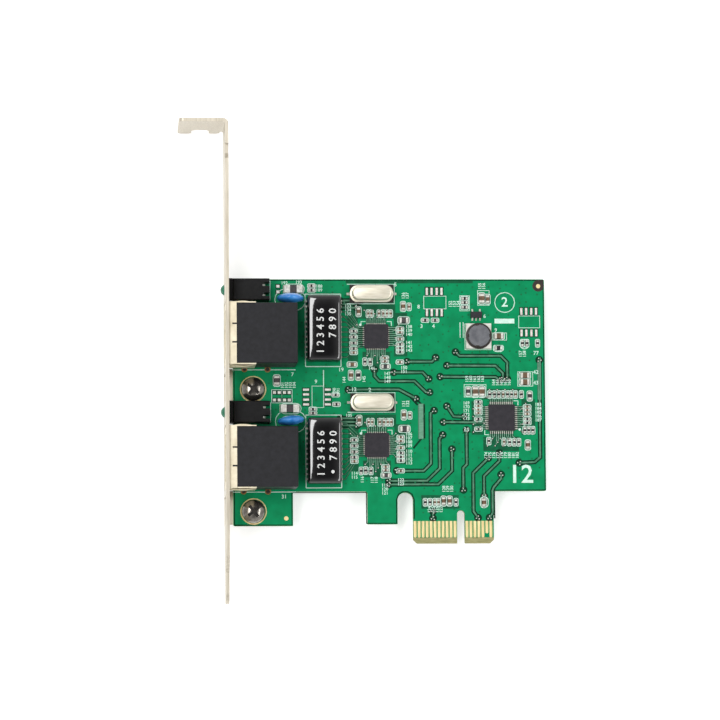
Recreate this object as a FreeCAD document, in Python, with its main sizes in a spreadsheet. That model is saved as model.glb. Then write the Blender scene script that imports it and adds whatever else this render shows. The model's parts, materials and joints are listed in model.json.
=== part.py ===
import FreeCAD, Part
import math
import os
import Sketcher
from types import SimpleNamespace
from FreeCAD import Placement, Rotation, Vector

# Network interface card: two jacks on a full-height bracket, one-lane edge connector.
#
# X runs along the card, away from the bracket.  Y runs up the card, away from the slot.
# Z points out of the component side.  The origin is the middle of the key notch, on the
# connector's bottom edge, at the component surface.
#
# The card carries two equal blocks (jack, lamp, disc capacitor, transformer, screw), one
# above the other, and two equal channels (controller, crystal and the chips round them).
# Each is described for the lower one, and block_pitch or channel_pitch leads to the upper.

DIMENSIONS = {
    # circuit board
    "board_thickness": 1.57,
    "board_left": -56.9,
    "board_right": 21.5,
    "board_top": 66.35,
    "board_bottom": 13.05,
    "tab_right": -42.0,
    "tab_bottom": 4.5,
    "hook_left": -23.4,
    "hook_bottom": 4.85,
    "slot_left": -15.85,
    "slot_top": 12.75,
    "connector_left": -11.95,
    "connector_right": 8.25,
    "key_width": 1.9,
    "key_top": 8.25,
    "connector_corner": 0.9,
    "bevel_height": 1.3,
    "bevel_depth": 0.4,
    "inner_corner_radius": 0.6,
    "outer_corner_radius": 0.4,
    # edge contacts
    "contact_pitch": 1.0,
    "contact_width": 0.7,
    "contact_bottom": 1.5,
    "contact_top": 5.6,
    "short_contact_bottom": 2.5,
    "contact_thickness": 0.04,
    "contact_corner": 0.2,
    "first_contact": 11.5,
    "contact_beside_key": 1.5,
    # blocks and channels
    "block_pitch": 30.6,
    "channel_pitch": 27.3,
    "jack_row": 21.1,
    "lamp_row": 32.75,
    "disc_row": 30.6,
    "screw_row": 8.15,
    "screw_column": -51.85,
    "transformer_row": 23.1,
    "transformer_column": -34.2,
    "crystal_row": 35.35,
    "crystal_column": -22.05,
    "controller_row": 24.65,
    "controller_column": -20.95,
    # bracket
    "sheet_thickness": 0.86,
    "bracket_face": -59.05,
    "bracket_width": 18.42,
    "bracket_near_edge": 14.72,
    "bracket_tip": -15.02,
    "bracket_height": 120.02,
    "bend_radius": 0.5,
    "screw_tab_depth": 11.43,
    "screw_tab_width": 21.59,
    "screw_tab_corner": 1.2,
    "tab_neck_gap": 0.3,
    "screw_slot_width": 4.42,
    "screw_slot_depth": 6.2,
    "screw_slot_offset": 5.8,
    "slot_mouth_chamfer": 0.6,
    "shoulder_height": -3.3,
    "tongue_width": 10.19,
    "tongue_corner": 2.5,
    "edge_notch_low": 95.0,
    "edge_notch_high": 98.7,
    "edge_notch_depth": 1.3,
    "ear_end": -47.6,
    "ear_width": 6.4,
    "ear_corner": 1.5,
    "ear_relief": 0.3,
    "ear_root_overlap": 0.3,
    "ear_window_top": 8.9,
    "ear_collar_diameter": 4.4,
    "ear_collar_depth": 0.7,
    # screws
    "thread_hole": 3.0,
    "screw_shank": 2.95,
    "screw_head": 6.0,
    "screw_head_height": 2.1,
    "screw_head_rim": 0.6,
    "screw_length": 3.6,
    "screw_point": 0.3,
    "recess_reach": 1.74,
    "recess_half_width": 0.45,
    "recess_floor_reach": 0.72,
    "recess_floor_half_width": 0.27,
    "recess_floor_height": 0.63,
    "board_screw_hole": 3.2,
    # jacks
    "jack_width": 15.0,
    "jack_height": 13.3,
    "jack_front": -58.7,
    "jack_rear": -41.2,
    "jack_cavity_width": 11.9,
    "jack_cavity_floor": 4.0,
    "jack_cavity_roof": 10.9,
    "jack_cavity_depth": 12.1,
    "latch_shelf_width": 6.3,
    "latch_shelf_floor": 2.5,
    "latch_slot_width": 3.3,
    "latch_slot_floor": 1.4,
    "wire_bay_width": 8.6,
    "wire_bay_roof": 12.0,
    "wire_bay_wall": 1.0,
    "wire_bay_depth": 3.6,
    "wire_pitch": 1.02,
    "wire_width": 0.36,
    "wire_thickness": 0.26,
    "wire_front_pin": -45.1,
    "wire_rear_pin": -42.6,
    "wire_bend": 0.4,
    "wire_front_inset": 1.7,
    "wire_spring_run": 6.6,
    "wire_spring_height": 4.45,
    "peg_column": -51.2,
    "peg_spacing": 11.43,
    "peg_diameter": 3.15,
    "peg_hole": 3.25,
    "peg_length": 2.3,
    "peg_chamfer": 0.4,
    "jack_edge_chamfer": 0.2,
    "jack_opening_gap": 0.2,
    "lamp_opening": 3.4,
    # jack shields
    "shield_thickness": 0.25,
    "shield_top_end": -56.3,
    "shield_side_end": -51.5,
    "shield_side_bottom": 0.6,
    "shield_slot_offset": 2.3,
    "shield_slot_width": 0.4,
    "shield_slot_length": 1.1,
    "shield_leg_column": -54.0,
    "shield_leg_width": 1.2,
    "spring_bulge": 0.45,
    "spring_inset": 0.4,
    "spring_low": 7.0,
    "spring_high": 10.6,
    # lamps
    "lamp_axis_height": 2.6,
    "lamp_tip": -60.0,
    "lamp_diameter": 3.0,
    "lamp_flange_diameter": 4.0,
    "lamp_flange_front": -57.9,
    "lamp_rear": -54.6,
    "lamp_lead_spacing": 2.54,
    "lamp_lead_width": 0.5,
    "lamp_lead_column": -49.0,
    "lamp_lead_bend": 0.3,
    "holder_front": -56.9,
    "holder_rear": -47.8,
    "holder_width": 5.5,
    "holder_height": 5.1,
    "holder_bore": 3.1,
    "holder_bore_depth": 6.6,
    "holder_slot_width": 0.9,
    "holder_slot_depth": 1.7,
    "holder_edge_round": 0.3,
    # disc capacitors
    "disc_column": -42.6,
    "disc_diameter": 6.6,
    "disc_thickness": 2.6,
    "disc_rim": 0.9,
    "disc_axis_height": 4.7,
    "disc_lead_spacing": 5.0,
    "disc_lead_diameter": 0.6,
    "disc_coat_diameter": 1.1,
    "disc_coat_bottom": 1.3,
    # transformers
    "transformer_width": 8.3,
    "transformer_length": 16.3,
    "transformer_bottom": 0.3,
    "transformer_top": 6.0,
    "transformer_crown": 1.5,
    "transformer_end_round": 0.6,
    "gull_lead_pitch": 1.27,
    "gull_lead_width": 0.42,
    "gull_lead_thickness": 0.2,
    "gull_lead_reach": 0.5,
    "gull_lead_standoff": 0.12,
    "gull_lead_exit": 1.15,
    # crystals
    "crystal_base_length": 11.0,
    "crystal_base_width": 4.5,
    "crystal_base_height": 0.8,
    "crystal_flange_length": 10.8,
    "crystal_flange_width": 4.2,
    "crystal_flange_height": 0.45,
    "crystal_can_length": 10.1,
    "crystal_can_width": 3.5,
    "crystal_can_height": 3.3,
    "crystal_can_chamfer": 0.45,
    "crystal_lead_width": 0.6,
    "crystal_lead_thickness": 0.2,
    "crystal_lead_reach": 0.75,
    "crystal_lead_inside": 2.4,
    # flat chips
    "pad_thickness": 0.05,
    "pad_pitch": 0.5,
    "pad_width": 0.25,
    "controller_size": 6.0,
    "controller_height": 0.85,
    "controller_pad_length": 0.7,
    "controller_pad_reach": 0.35,
    "switch_column": 10.4,
    "switch_row": 31.45,
    "switch_size": 6.6,
    "switch_height": 0.85,
    "switch_pad_length": 1.1,
    "switch_pad_reach": 0.7,
    "pin_mark_diameter": 0.5,
    "pin_mark_inset": 0.75,
    "pin_mark_depth": 0.05,
    # inductor
    "inductor_column": 4.75,
    "inductor_row": 51.9,
    "inductor_width": 6.3,
    "inductor_base_height": 1.8,
    "inductor_floor": 0.4,
    "inductor_bore": 6.0,
    "drum_foot_diameter": 5.9,
    "drum_top_diameter": 5.5,
    "drum_edge": 0.15,
    "drum_post_diameter": 2.6,
    "drum_flange": 0.6,
    "drum_height": 2.7,
    "winding_diameter": 5.3,
    "clip_width": 2.0,
    "clip_thickness": 0.12,
    "clip_inset": 0.4,
    # regulator
    "regulator_column": 4.25,
    "regulator_row": 57.35,
    "regulator_length": 2.9,
    "regulator_width": 1.6,
    "regulator_height": 1.1,
    "regulator_standoff": 0.1,
    "regulator_lead_pitch": 0.95,
    "regulator_lead_width": 0.4,
    "regulator_lead_reach": 0.65,
    "regulator_lead_thickness": 0.15,
    "regulator_lead_exit": 0.55,
    # chip sizes: length, width, height and the length of one end terminal
    "small_chip_length": 1.0,
    "small_chip_width": 0.5,
    "small_chip_height": 0.4,
    "small_chip_terminal": 0.24,
    "medium_chip_length": 1.6,
    "medium_chip_width": 0.8,
    "medium_chip_height": 0.7,
    "medium_chip_terminal": 0.35,
    "large_chip_length": 2.0,
    "large_chip_width": 1.25,
    "large_chip_height": 0.9,
    "large_chip_terminal": 0.45,
    "surge_chip_length": 4.5,
    "surge_chip_width": 1.9,
    "surge_chip_height": 1.4,
    "surge_chip_terminal": 1.4,
    # leads through the board
    "lead_clearance": 0.06,
    "lead_below_board": 0.9,
}

ALONG_X, ALONG_Y = "along x", "along y"

# Chips that both channels have: name, size, direction, then their places in the lower
# channel.
CHANNEL_CHIPS = [
    ("capacitor", "small", ALONG_Y, [(-22.9, 30.4), (-22.1, 30.4), (-20.15, 30.4),
                                     (-19.1, 30.4), (-18.15, 30.4), (-17.3, 30.4)]),
    ("capacitor", "small", ALONG_Y, [(-12.6, 32.1)]),
    ("capacitor", "small", ALONG_X, [(-26.6, 20.6), (-14.95, 26.6), (-14.95, 25.7),
                                     (-14.95, 24.0), (-18.8, 19.2), (-18.8, 18.4),
                                     (-15.0, 18.2)]),
    ("capacitor", "medium", ALONG_Y, [(-25.3, 30.9), (-14.1, 32.2)]),
    ("resistor", "small", ALONG_X, [(-26.6, 26.0), (-26.6, 24.5), (-26.6, 23.0),
                                    (-26.6, 21.6), (-14.95, 22.6), (-14.95, 21.7),
                                    (-14.95, 20.8)]),
    ("resistor", "small", ALONG_Y, [(-23.8, 18.3), (-22.45, 18.2)]),
    ("bead", "medium", ALONG_X, [(-18.7, 17.1)]),
    ("bead", "large", ALONG_X, [(-14.0, 28.7)]),
]

# Chips that stand alone.
SINGLE_CHIPS = [
    ("resistor", "small", ALONG_X, [(-31.2, 37.3), (-31.0, 34.9), (-36.9, 33.7),
                                    (-36.9, 32.7), (-37.1, 64.7), (-37.1, 63.6),
                                    (-8.6, 56.0), (-6.1, 56.0), (1.4, 61.5), (1.4, 60.5),
                                    (1.4, 59.3), (4.6, 35.4), (4.6, 31.1), (4.6, 28.6),
                                    (16.9, 31.1), (16.9, 30.2)]),
    ("resistor", "small", ALONG_Y, [(-24.9, 18.2), (15.9, 50.2), (17.0, 50.2),
                                    (19.7, 50.2), (7.5, 37.3), (8.7, 37.3), (9.8, 37.3),
                                    (12.0, 37.3), (13.0, 37.3), (15.5, 37.3),
                                    (16.3, 28.3), (17.3, 28.3), (18.3, 28.3),
                                    (7.2, 25.6), (12.4, 25.3), (13.6, 25.3),
                                    (14.7, 25.3), (-8.9, 10.3), (-7.7, 10.3),
                                    (-1.2, 10.3)]),
    ("resistor", "medium", ALONG_X, [(9.8, 49.0)]),
    ("resistor", "medium", ALONG_Y, [(-25.5, 42.2)]),
    ("capacitor", "small", ALONG_X, [(4.6, 34.4), (4.6, 33.5), (4.6, 32.7),
                                     (16.9, 34.2), (16.9, 33.4), (16.9, 32.4)]),
    ("capacitor", "small", ALONG_Y, [(10.9, 37.3), (14.0, 37.3), (11.0, 25.4),
                                     (-6.5, 10.3), (-5.6, 10.3)]),
    ("capacitor", "medium", ALONG_X, [(-27.0, 44.9)]),
    ("capacitor", "medium", ALONG_Y, [(-27.3, 42.2), (7.2, 61.3), (17.0, 24.6),
                                      (-4.3, 10.6), (-2.8, 10.6), (5.8, 10.2)]),
    ("capacitor", "large", ALONG_X, [(9.9, 52.0), (16.4, 42.1), (16.4, 40.4)]),
    ("capacitor", "large", ALONG_Y, [(5.7, 61.5), (3.9, 38.0), (5.5, 38.0)]),
    ("bead", "medium", ALONG_Y, [(2.1, 38.1), (17.6, 36.9)]),
    ("bead", "large", ALONG_Y, [(-45.9, 40.9)]),
    ("surge_chip", "surge", ALONG_X, [(-42.7, 33.85), (-41.7, 63.85)]),
]


class Size:
    """A length together with the spreadsheet formula that gives it."""

    def __init__(self, value, formula):
        self.value = value
        self.formula = formula

    def __add__(self, other):
        other = as_size(other)
        return Size(self.value + other.value, f"({self.formula} + {other.formula})")

    def __sub__(self, other):
        other = as_size(other)
        return Size(self.value - other.value, f"({self.formula} - {other.formula})")

    def __mul__(self, other):
        other = as_size(other)
        return Size(self.value * other.value, f"({self.formula} * {other.formula})")

    def __truediv__(self, other):
        other = as_size(other)
        return Size(self.value / other.value, f"({self.formula} / {other.formula})")

    def __neg__(self):
        return Size(-self.value, f"(0 - {self.formula})")

    def __rsub__(self, other):
        return as_size(other) - self

    __radd__ = __add__
    __rmul__ = __mul__


def as_size(number):
    if isinstance(number, Size):
        return number
    return Size(float(number), f"({float(number)!r})")


# ---------------------------------------------------------------- document and sheet

doc = FreeCAD.newDocument("network_interface_card")
sheet = doc.addObject("Spreadsheet::Sheet", "Dimensions")
for row, (alias, number) in enumerate(DIMENSIONS.items(), start=1):
    sheet.set(f"A{row}", alias)
    sheet.set(f"B{row}", str(number))
    sheet.setAlias(f"B{row}", alias)
doc.recompute()
d = SimpleNamespace(**{alias: Size(number, f"Dimensions.{alias}")
                       for alias, number in DIMENSIONS.items()})

subparts = []


def bind(thing, name, number):
    """Give a property its size, tied to the sheet."""
    thing.setExpression(name, as_size(number).formula)


def place(thing, x, y, z=0, turn=0):
    base = [as_size(number) for number in (x, y, z)]
    thing.Placement = Placement(Vector(*[number.value for number in base]),
                                Rotation(Vector(0, 0, 1), turn))
    for axis, number in zip("xyz", base):
        bind(thing, f"Placement.Base.{axis}", number)


def new_body(label):
    body = doc.addObject("PartDesign::Body", label)
    body.Label = label
    subparts.append(body)
    return body


# ------------------------------------------------------------------- sketching helpers

def sketch_on(body, name, role, offset=0):
    """A sketch on one of the body's own origin planes, moved along that plane's axis."""
    plane = next(item for item in body.Origin.OriginFeatures if item.Role == role)
    sketch = body.newObject("Sketcher::SketchObject", name)
    sketch.AttachmentSupport = [(plane, "")]
    sketch.MapMode = "FlatFace"
    offset = as_size(offset)
    if role == "XZ_Plane":  # its normal points along -Y
        offset = -offset
    sketch.AttachmentOffset = Placement(Vector(0, 0, offset.value), Rotation())
    bind(sketch, "AttachmentOffset.Base.z", offset)
    return sketch


def fix_point(constraints, formulas, geometry, point, x, y):
    """Note the two constraints that hold a point at x, y."""
    for kind, number in (("DistanceX", x), ("DistanceY", y)):
        if number is not None:
            constraints.append(Sketcher.Constraint(kind, -1, 1, geometry, point,
                                                   number.value))
            formulas[len(constraints) - 1] = number.formula


def add_constraints(sketch, constraints, formulas):
    first = sketch.ConstraintCount
    sketch.addConstraint(constraints)
    for number, formula in formulas.items():
        sketch.setExpression(f"Constraints[{first + number}]", formula)


def arc_side(start, end, centre, ccw):
    angles = [math.atan2(point.y - centre.y, point.x - centre.x) for point in (start, end)]
    if not ccw:
        angles.reverse()
    circle = Part.Circle(centre, Vector(0, 0, 1), (start - centre).Length)
    if angles[1] <= angles[0]:
        angles[1] += 2 * math.pi
    return Part.ArcOfCircle(circle, *angles)


def outline(sketch, corners, arcs=None, closed=True):
    """Draw sides from corner to corner.

    arcs maps a side's number to (centre x, centre y, counter-clockwise).
    """
    arcs = arcs or {}
    corners = [(as_size(x), as_size(y)) for x, y in corners]
    points = [Vector(x.value, y.value, 0) for x, y in corners]
    first = sketch.GeometryCount
    count = len(corners)
    sides = count if closed else count - 1
    geometry, starts, ends = [], [], []
    constraints, formulas = [], {}
    for side in range(sides):
        start, end = points[side], points[(side + 1) % count]
        ccw = True
        if side in arcs:
            centre_x, centre_y, ccw = arcs[side]
            centre = Vector(as_size(centre_x).value, as_size(centre_y).value, 0)
            geometry.append(arc_side(start, end, centre, ccw))
        else:
            geometry.append(Part.LineSegment(start, end))
        starts.append(1 if ccw else 2)
        ends.append(2 if ccw else 1)
    sketch.addGeometry(geometry)
    for side in range(sides):
        fix_point(constraints, formulas, first + side, starts[side], *corners[side])
        if closed or side < sides - 1:
            following = (side + 1) % count
            constraints.append(Sketcher.Constraint("Coincident", first + side, ends[side],
                                                   first + following, starts[following]))
        else:
            fix_point(constraints, formulas, first + side, ends[side], *corners[-1])
    for side, (centre_x, centre_y, _) in arcs.items():
        chord = points[(side + 1) % count] - points[side]
        if abs(chord.x) >= abs(chord.y):
            fix_point(constraints, formulas, first + side, 3, None, as_size(centre_y))
        else:
            fix_point(constraints, formulas, first + side, 3, as_size(centre_x), None)
    add_constraints(sketch, constraints, formulas)


def rectangle(sketch, x0, y0, x1, y1):
    outline(sketch, [(x0, y0), (x1, y0), (x1, y1), (x0, y1)])


def circles(sketch, holes):
    """Circles from (x, y, diameter)."""
    first = sketch.GeometryCount
    constraints, formulas = [], {}
    for number, (x, y, diameter) in enumerate(holes):
        x, y, diameter = as_size(x), as_size(y), as_size(diameter)
        sketch.addGeometry(Part.Circle(Vector(x.value, y.value, 0), Vector(0, 0, 1),
                                       diameter.value / 2))
        fix_point(constraints, formulas, first + number, 3, x, y)
        constraints.append(Sketcher.Constraint("Diameter", first + number, diameter.value))
        formulas[len(constraints) - 1] = diameter.formula
    add_constraints(sketch, constraints, formulas)


def stadium(sketch, length, width):
    """A long outline with round ends, centred on the sketch's origin."""
    middle = (length - width) / 2
    outline(sketch,
            [(-middle, -width / 2), (middle, -width / 2), (middle, width / 2),
             (-middle, width / 2)],
            {1: (middle, 0, True), 3: (-middle, 0, True)})


# -------------------------------------------------------------------- feature helpers

def pad(body, sketch, length, reverse=False, both_ways=False):
    feature = body.newObject("PartDesign::Pad", sketch.Name + "_pad")
    feature.Profile = sketch
    bind(feature, "Length", length)
    feature.Reversed = reverse
    feature.Midplane = both_ways
    sketch.Visibility = False
    return feature


def pocket(body, sketch, length=None, reverse=False):
    """Cut by length, or right through both ways when no length is given."""
    feature = body.newObject("PartDesign::Pocket", sketch.Name + "_pocket")
    feature.Profile = sketch
    if length is None:
        feature.Type = "ThroughAll"
        feature.Midplane = True
    else:
        bind(feature, "Length", length)
        feature.Reversed = reverse
    sketch.Visibility = False
    return feature


def revolve(body, sketch, axis="V_Axis"):
    feature = body.newObject("PartDesign::Revolution", sketch.Name + "_revolution")
    feature.Profile = sketch
    feature.ReferenceAxis = (sketch, [axis])
    feature.Angle = 360
    sketch.Visibility = False
    return feature


def repeat(body, features, sketch, axis, pitch, count):
    """Repeat features in a row, pitch apart."""
    pattern = body.newObject("PartDesign::LinearPattern", features[0].Name + "_row")
    pattern.Originals = features
    pattern.Direction = (sketch, [axis])
    bind(pattern, "Length", pitch * (count - 1))
    pattern.Occurrences = count
    body.Tip = pattern
    return pattern


def straight_edges(feature, along, **place_of):
    """Names of the edges that run along an axis and whose middle is at a place."""
    doc.recompute()
    names = []
    for number, edge in enumerate(feature.Shape.Edges, start=1):
        box = edge.BoundBox
        spans = {"x": box.XLength, "y": box.YLength, "z": box.ZLength}
        middle = {"x": box.Center.x, "y": box.Center.y, "z": box.Center.z}
        runs = all((span > 1e-4) == (axis == along) for axis, span in spans.items())
        near = all(min(abs(middle[axis] - as_size(value).value) for value in values) < 0.02
                   for axis, values in place_of.items())
        if runs and near:
            names.append(f"Edge{number}")
    return names


def soften(body, base, kind, size, edges):
    """A fillet or a chamfer over the named edges of a feature."""
    feature = body.newObject(f"PartDesign::{kind}", f"{body.Name}_{kind.lower()}")
    feature.Base = (base, edges)
    bind(feature, "Radius" if kind == "Fillet" else "Size", size)
    return feature


def box(x, y, z, length, width, height):
    thing = doc.addObject("Part::Box", "block")
    for name, number in (("Length", length), ("Width", width), ("Height", height)):
        bind(thing, name, number)
    place(thing, x, y, z)
    return thing


def group(label, things):
    """Separate solids that make one sub-part."""
    compound = doc.addObject("Part::Compound", label)
    compound.Label = label
    compound.Links = things
    subparts.append(compound)
    return compound


# --------------------------------------------------------------------- circuit board

def jack_wire_offsets():
    """Distance of each contact wire from the jack's middle."""
    return [d.wire_pitch * (number - 3.5) for number in range(8)]


def lead_holes():
    """Where the lower block's flat and square leads pass: x, y and their two sizes."""
    leads = []
    for number, offset in enumerate(jack_wire_offsets()):
        column = d.wire_rear_pin if number % 2 else d.wire_front_pin
        leads.append((column, d.jack_row + offset, d.wire_thickness, d.wire_width))
    leg_offset = (d.jack_width + d.shield_thickness) / 2
    for side in (-1, 1):
        leads.append((d.shield_leg_column, d.jack_row + leg_offset * side,
                      d.shield_leg_width, d.shield_thickness))
        leads.append((d.lamp_lead_column, d.lamp_row + d.lamp_lead_spacing / 2 * side,
                      d.lamp_lead_width, d.lamp_lead_width))
    return leads


def build_board():
    body = new_body("circuit_board")
    plan = sketch_on(body, "board_outline", "XY_Plane")
    key = d.key_width / 2
    key_shoulder = d.key_top - key
    slot_radius = (d.connector_left - d.slot_left) / 2
    slot_middle = d.slot_left + slot_radius
    slot_shoulder = d.slot_top - slot_radius
    outline(plan, [
        (d.board_left, d.tab_bottom),
        (d.tab_right, d.tab_bottom),
        (d.tab_right, d.board_bottom),
        (d.hook_left, d.board_bottom),
        (d.hook_left, d.hook_bottom),
        (d.slot_left, d.hook_bottom),
        (d.slot_left, slot_shoulder),
        (d.connector_left, slot_shoulder),
        (d.connector_left, d.connector_corner),
        (d.connector_left + d.connector_corner, 0),
        (-key, 0),
        (-key, key_shoulder),
        (key, key_shoulder),
        (key, 0),
        (d.connector_right - d.connector_corner, 0),
        (d.connector_right, d.connector_corner),
        (d.connector_right, d.board_bottom),
        (d.board_right, d.board_bottom),
        (d.board_right, d.board_top),
        (d.board_left, d.board_top),
    ], {6: (slot_middle, slot_shoulder, False), 11: (0, key_shoulder, False)})
    pad(body, plan, d.board_thickness, reverse=True)

    # the connector's edge is bevelled on both faces
    side = sketch_on(body, "connector_bevel", "YZ_Plane")
    below = -d.board_thickness
    outline(side, [(0, 0), (0, -d.bevel_depth), (d.bevel_height, 0)])
    outline(side, [(0, below), (d.bevel_height, below), (0, below + d.bevel_depth)])
    pocket(body, side)

    drill = sketch_on(body, "lower_block_holes", "XY_Plane")
    holes = [(d.screw_column, d.screw_row, d.board_screw_hole)]
    for side in (-1, 1):
        holes.append((d.peg_column, d.jack_row + d.peg_spacing / 2 * side, d.peg_hole))
        holes.append((d.disc_column + d.disc_lead_spacing / 2 * side, d.disc_row,
                      d.disc_lead_diameter + d.lead_clearance * 2))
    circles(drill, holes)
    for x, y, length, width in lead_holes():
        reach_x, reach_y = length / 2 + d.lead_clearance, width / 2 + d.lead_clearance
        rectangle(drill, x - reach_x, y - reach_y, x + reach_x, y + reach_y)
    drilled = pocket(body, drill)
    both = repeat(body, [drilled], drill, "V_Axis", d.block_pitch, 2)

    inner = []
    for column in (d.tab_right, d.hook_left, d.connector_right):
        inner += straight_edges(both, "z", x=[column], y=[d.board_bottom])
    rounded = soften(body, both, "Fillet", d.inner_corner_radius, inner)
    outer = []
    for column, row in ((d.board_left, d.board_top), (d.board_right, d.board_top),
                        (d.board_right, d.board_bottom), (d.board_left, d.tab_bottom)):
        outer += straight_edges(rounded, "z", x=[column], y=[row])
    soften(body, rounded, "Fillet", d.outer_corner_radius, outer)


def contact_finger(sketch, column, bottom):
    half = d.contact_width / 2
    corner = d.contact_corner
    outline(sketch, [(column + corner - half, bottom), (column + half - corner, bottom),
                     (column + half, bottom + corner), (column + half, d.contact_top),
                     (column - half, d.contact_top), (column - half, bottom + corner)])


def build_contacts(label, surface, outward, short_contact):
    """A row of 18 gold fingers, one of them short, on one face of the board."""
    body = new_body(label)
    columns = ([-d.first_contact + d.contact_pitch * number for number in range(11)]
               + [d.contact_beside_key + d.contact_pitch * number for number in range(7)])
    long_runs = {"front": ((0, 11), (11, 5), (17, 1)), "back": ((1, 10), (11, 7))}[outward]
    for first, count in long_runs:
        sketch = sketch_on(body, f"{label}_{first}", "XY_Plane", surface)
        contact_finger(sketch, columns[first], d.contact_bottom)
        finger = pad(body, sketch, d.contact_thickness, reverse=outward == "back")
        if count > 1:
            repeat(body, [finger], sketch, "H_Axis", d.contact_pitch, count)
    sketch = sketch_on(body, f"{label}_short", "XY_Plane", surface)
    contact_finger(sketch, columns[short_contact], d.short_contact_bottom)
    pad(body, sketch, d.contact_thickness, reverse=outward == "back")


# --------------------------------------------------------------------------- bracket

def build_bracket():
    """Folded sheet: a screw tab bent out at the top, two ears lanced in under the board."""
    body = new_body("mounting_bracket")
    face, inside = d.bracket_face, d.bracket_face + d.sheet_thickness
    tip, top = d.bracket_tip, d.bracket_tip + d.bracket_height
    near, far = d.bracket_near_edge, d.bracket_near_edge - d.bracket_width
    tab_far = near - d.screw_tab_width
    tab_end = face - d.screw_tab_depth
    tab_under = top - d.sheet_thickness
    outer_radius = d.bend_radius + d.sheet_thickness
    bend_x, bend_y = inside - outer_radius, top - outer_radius

    profile = sketch_on(body, "bracket_fold", "XY_Plane", tab_far)
    outline(profile, [
        (inside, tip), (inside, bend_y), (bend_x, top), (tab_end, top),
        (tab_end, tab_under), (bend_x, tab_under), (face, bend_y), (face, tip),
    ], {1: (bend_x, bend_y, True), 5: (bend_x, bend_y, False)})
    pad(body, profile, d.screw_tab_width)

    # only the flat of the tab is wider than the plate
    neck = sketch_on(body, "tab_overhang_relief", "XY_Plane", tab_far)
    neck_start = bend_x - d.tab_neck_gap
    rectangle(neck, neck_start, tip - 1, inside + 1, top + 1)
    pocket(body, neck, d.screw_tab_width - d.bracket_width, reverse=True)

    taper = (d.bracket_width - d.tongue_width) / 2
    shoulder = d.shoulder_height
    tongue = sketch_on(body, "tongue_taper", "YZ_Plane")
    for edge, inward in ((near, -1), (far, 1)):
        neck_edge = edge + taper * inward
        outside = edge - inward
        outline(tongue, [(shoulder, edge), (shoulder - taper, neck_edge),
                         (tip - 1, neck_edge), (tip - 1, outside), (shoulder, outside)])
    notch_floor = near - d.edge_notch_depth
    outline(tongue, [(d.edge_notch_low, near), (d.edge_notch_low + d.edge_notch_depth,
                                                notch_floor),
                     (d.edge_notch_high, notch_floor), (d.edge_notch_high, near + 1),
                     (d.edge_notch_low, near + 1)])
    pocket(body, tongue)

    # one block's openings: jack, lamp, and the window that the ear was lanced from
    ear_top = -d.board_thickness
    ear_bend = ear_top - outer_radius
    openings = sketch_on(body, "block_openings", "YZ_Plane")
    shell = d.jack_width / 2 + d.shield_thickness + d.jack_opening_gap
    rectangle(openings, d.jack_row - shell, -d.jack_opening_gap, d.jack_row + shell,
              d.jack_height + d.shield_thickness + d.jack_opening_gap)
    circles(openings, [(d.lamp_row, d.lamp_axis_height, d.lamp_opening)])
    window = d.ear_width / 2 + d.ear_relief
    rectangle(openings, d.screw_row - window, ear_bend, d.screw_row + window,
              d.ear_window_top)
    cut = pocket(body, openings)
    repeat(body, [cut], openings, "H_Axis", d.block_pitch, 2)

    ear = sketch_on(body, "ear_fold", "XZ_Plane", d.screw_row)
    bend_column = inside + d.bend_radius
    ear_root = ear_bend - d.ear_root_overlap
    outline(ear, [
        (face, ear_root), (inside, ear_root), (inside, ear_bend),
        (bend_column, ear_bend + d.bend_radius), (d.ear_end, ear_bend + d.bend_radius),
        (d.ear_end, ear_top), (bend_column, ear_top), (face, ear_bend),
    ], {2: (bend_column, ear_bend, False), 6: (bend_column, ear_bend, True)})
    flap = pad(body, ear, d.ear_width, both_ways=True)
    collar = sketch_on(body, "ear_collar", "XY_Plane", ear_top - d.sheet_thickness)
    circles(collar, [(d.screw_column, d.screw_row, d.ear_collar_diameter)])
    ring = pad(body, collar, d.ear_collar_depth, reverse=True)
    thread = sketch_on(body, "ear_thread", "XY_Plane", ear_top)
    circles(thread, [(d.screw_column, d.screw_row, d.thread_hole)])
    bore = pocket(body, thread, d.sheet_thickness + d.ear_collar_depth + 0.2)
    repeat(body, [flap, ring, bore], thread, "V_Axis", d.block_pitch, 2)

    slot = sketch_on(body, "screw_slot", "XZ_Plane")
    radius = d.screw_slot_width / 2
    column = face - d.screw_slot_offset
    slot_centre = tab_far + d.screw_slot_depth - radius
    outline(slot, [(column - radius, tab_far - 1), (column + radius, tab_far - 1),
                   (column + radius, slot_centre), (column - radius, slot_centre)],
            {2: (column, slot_centre, True)})
    slotted = pocket(body, slot)

    corners = straight_edges(slotted, "y", x=[tab_end], z=[near, tab_far])
    corners += straight_edges(slotted, "y", x=[neck_start], z=[tab_far])
    rounded = soften(body, slotted, "Fillet", d.screw_tab_corner, corners)
    ear_ends = straight_edges(rounded, "z", x=[d.ear_end])
    rounded = soften(body, rounded, "Fillet", d.ear_corner, ear_ends)
    tongue_ends = straight_edges(rounded, "x", y=[tip], z=[near - taper, far + taper])
    rounded = soften(body, rounded, "Fillet", d.tongue_corner, tongue_ends)
    mouth = straight_edges(rounded, "y", x=[column - radius, column + radius], z=[tab_far])
    soften(body, rounded, "Chamfer", d.slot_mouth_chamfer, mouth)


# ---------------------------------------------------------------------------- screws

def cross_outline(sketch, reach, half_width):
    outline(sketch, [
        (reach, -half_width), (reach, half_width), (half_width, half_width),
        (half_width, reach), (-half_width, reach), (-half_width, half_width),
        (-reach, half_width), (-reach, -half_width), (-half_width, -half_width),
        (-half_width, -reach), (half_width, -reach), (half_width, -half_width)])


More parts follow.
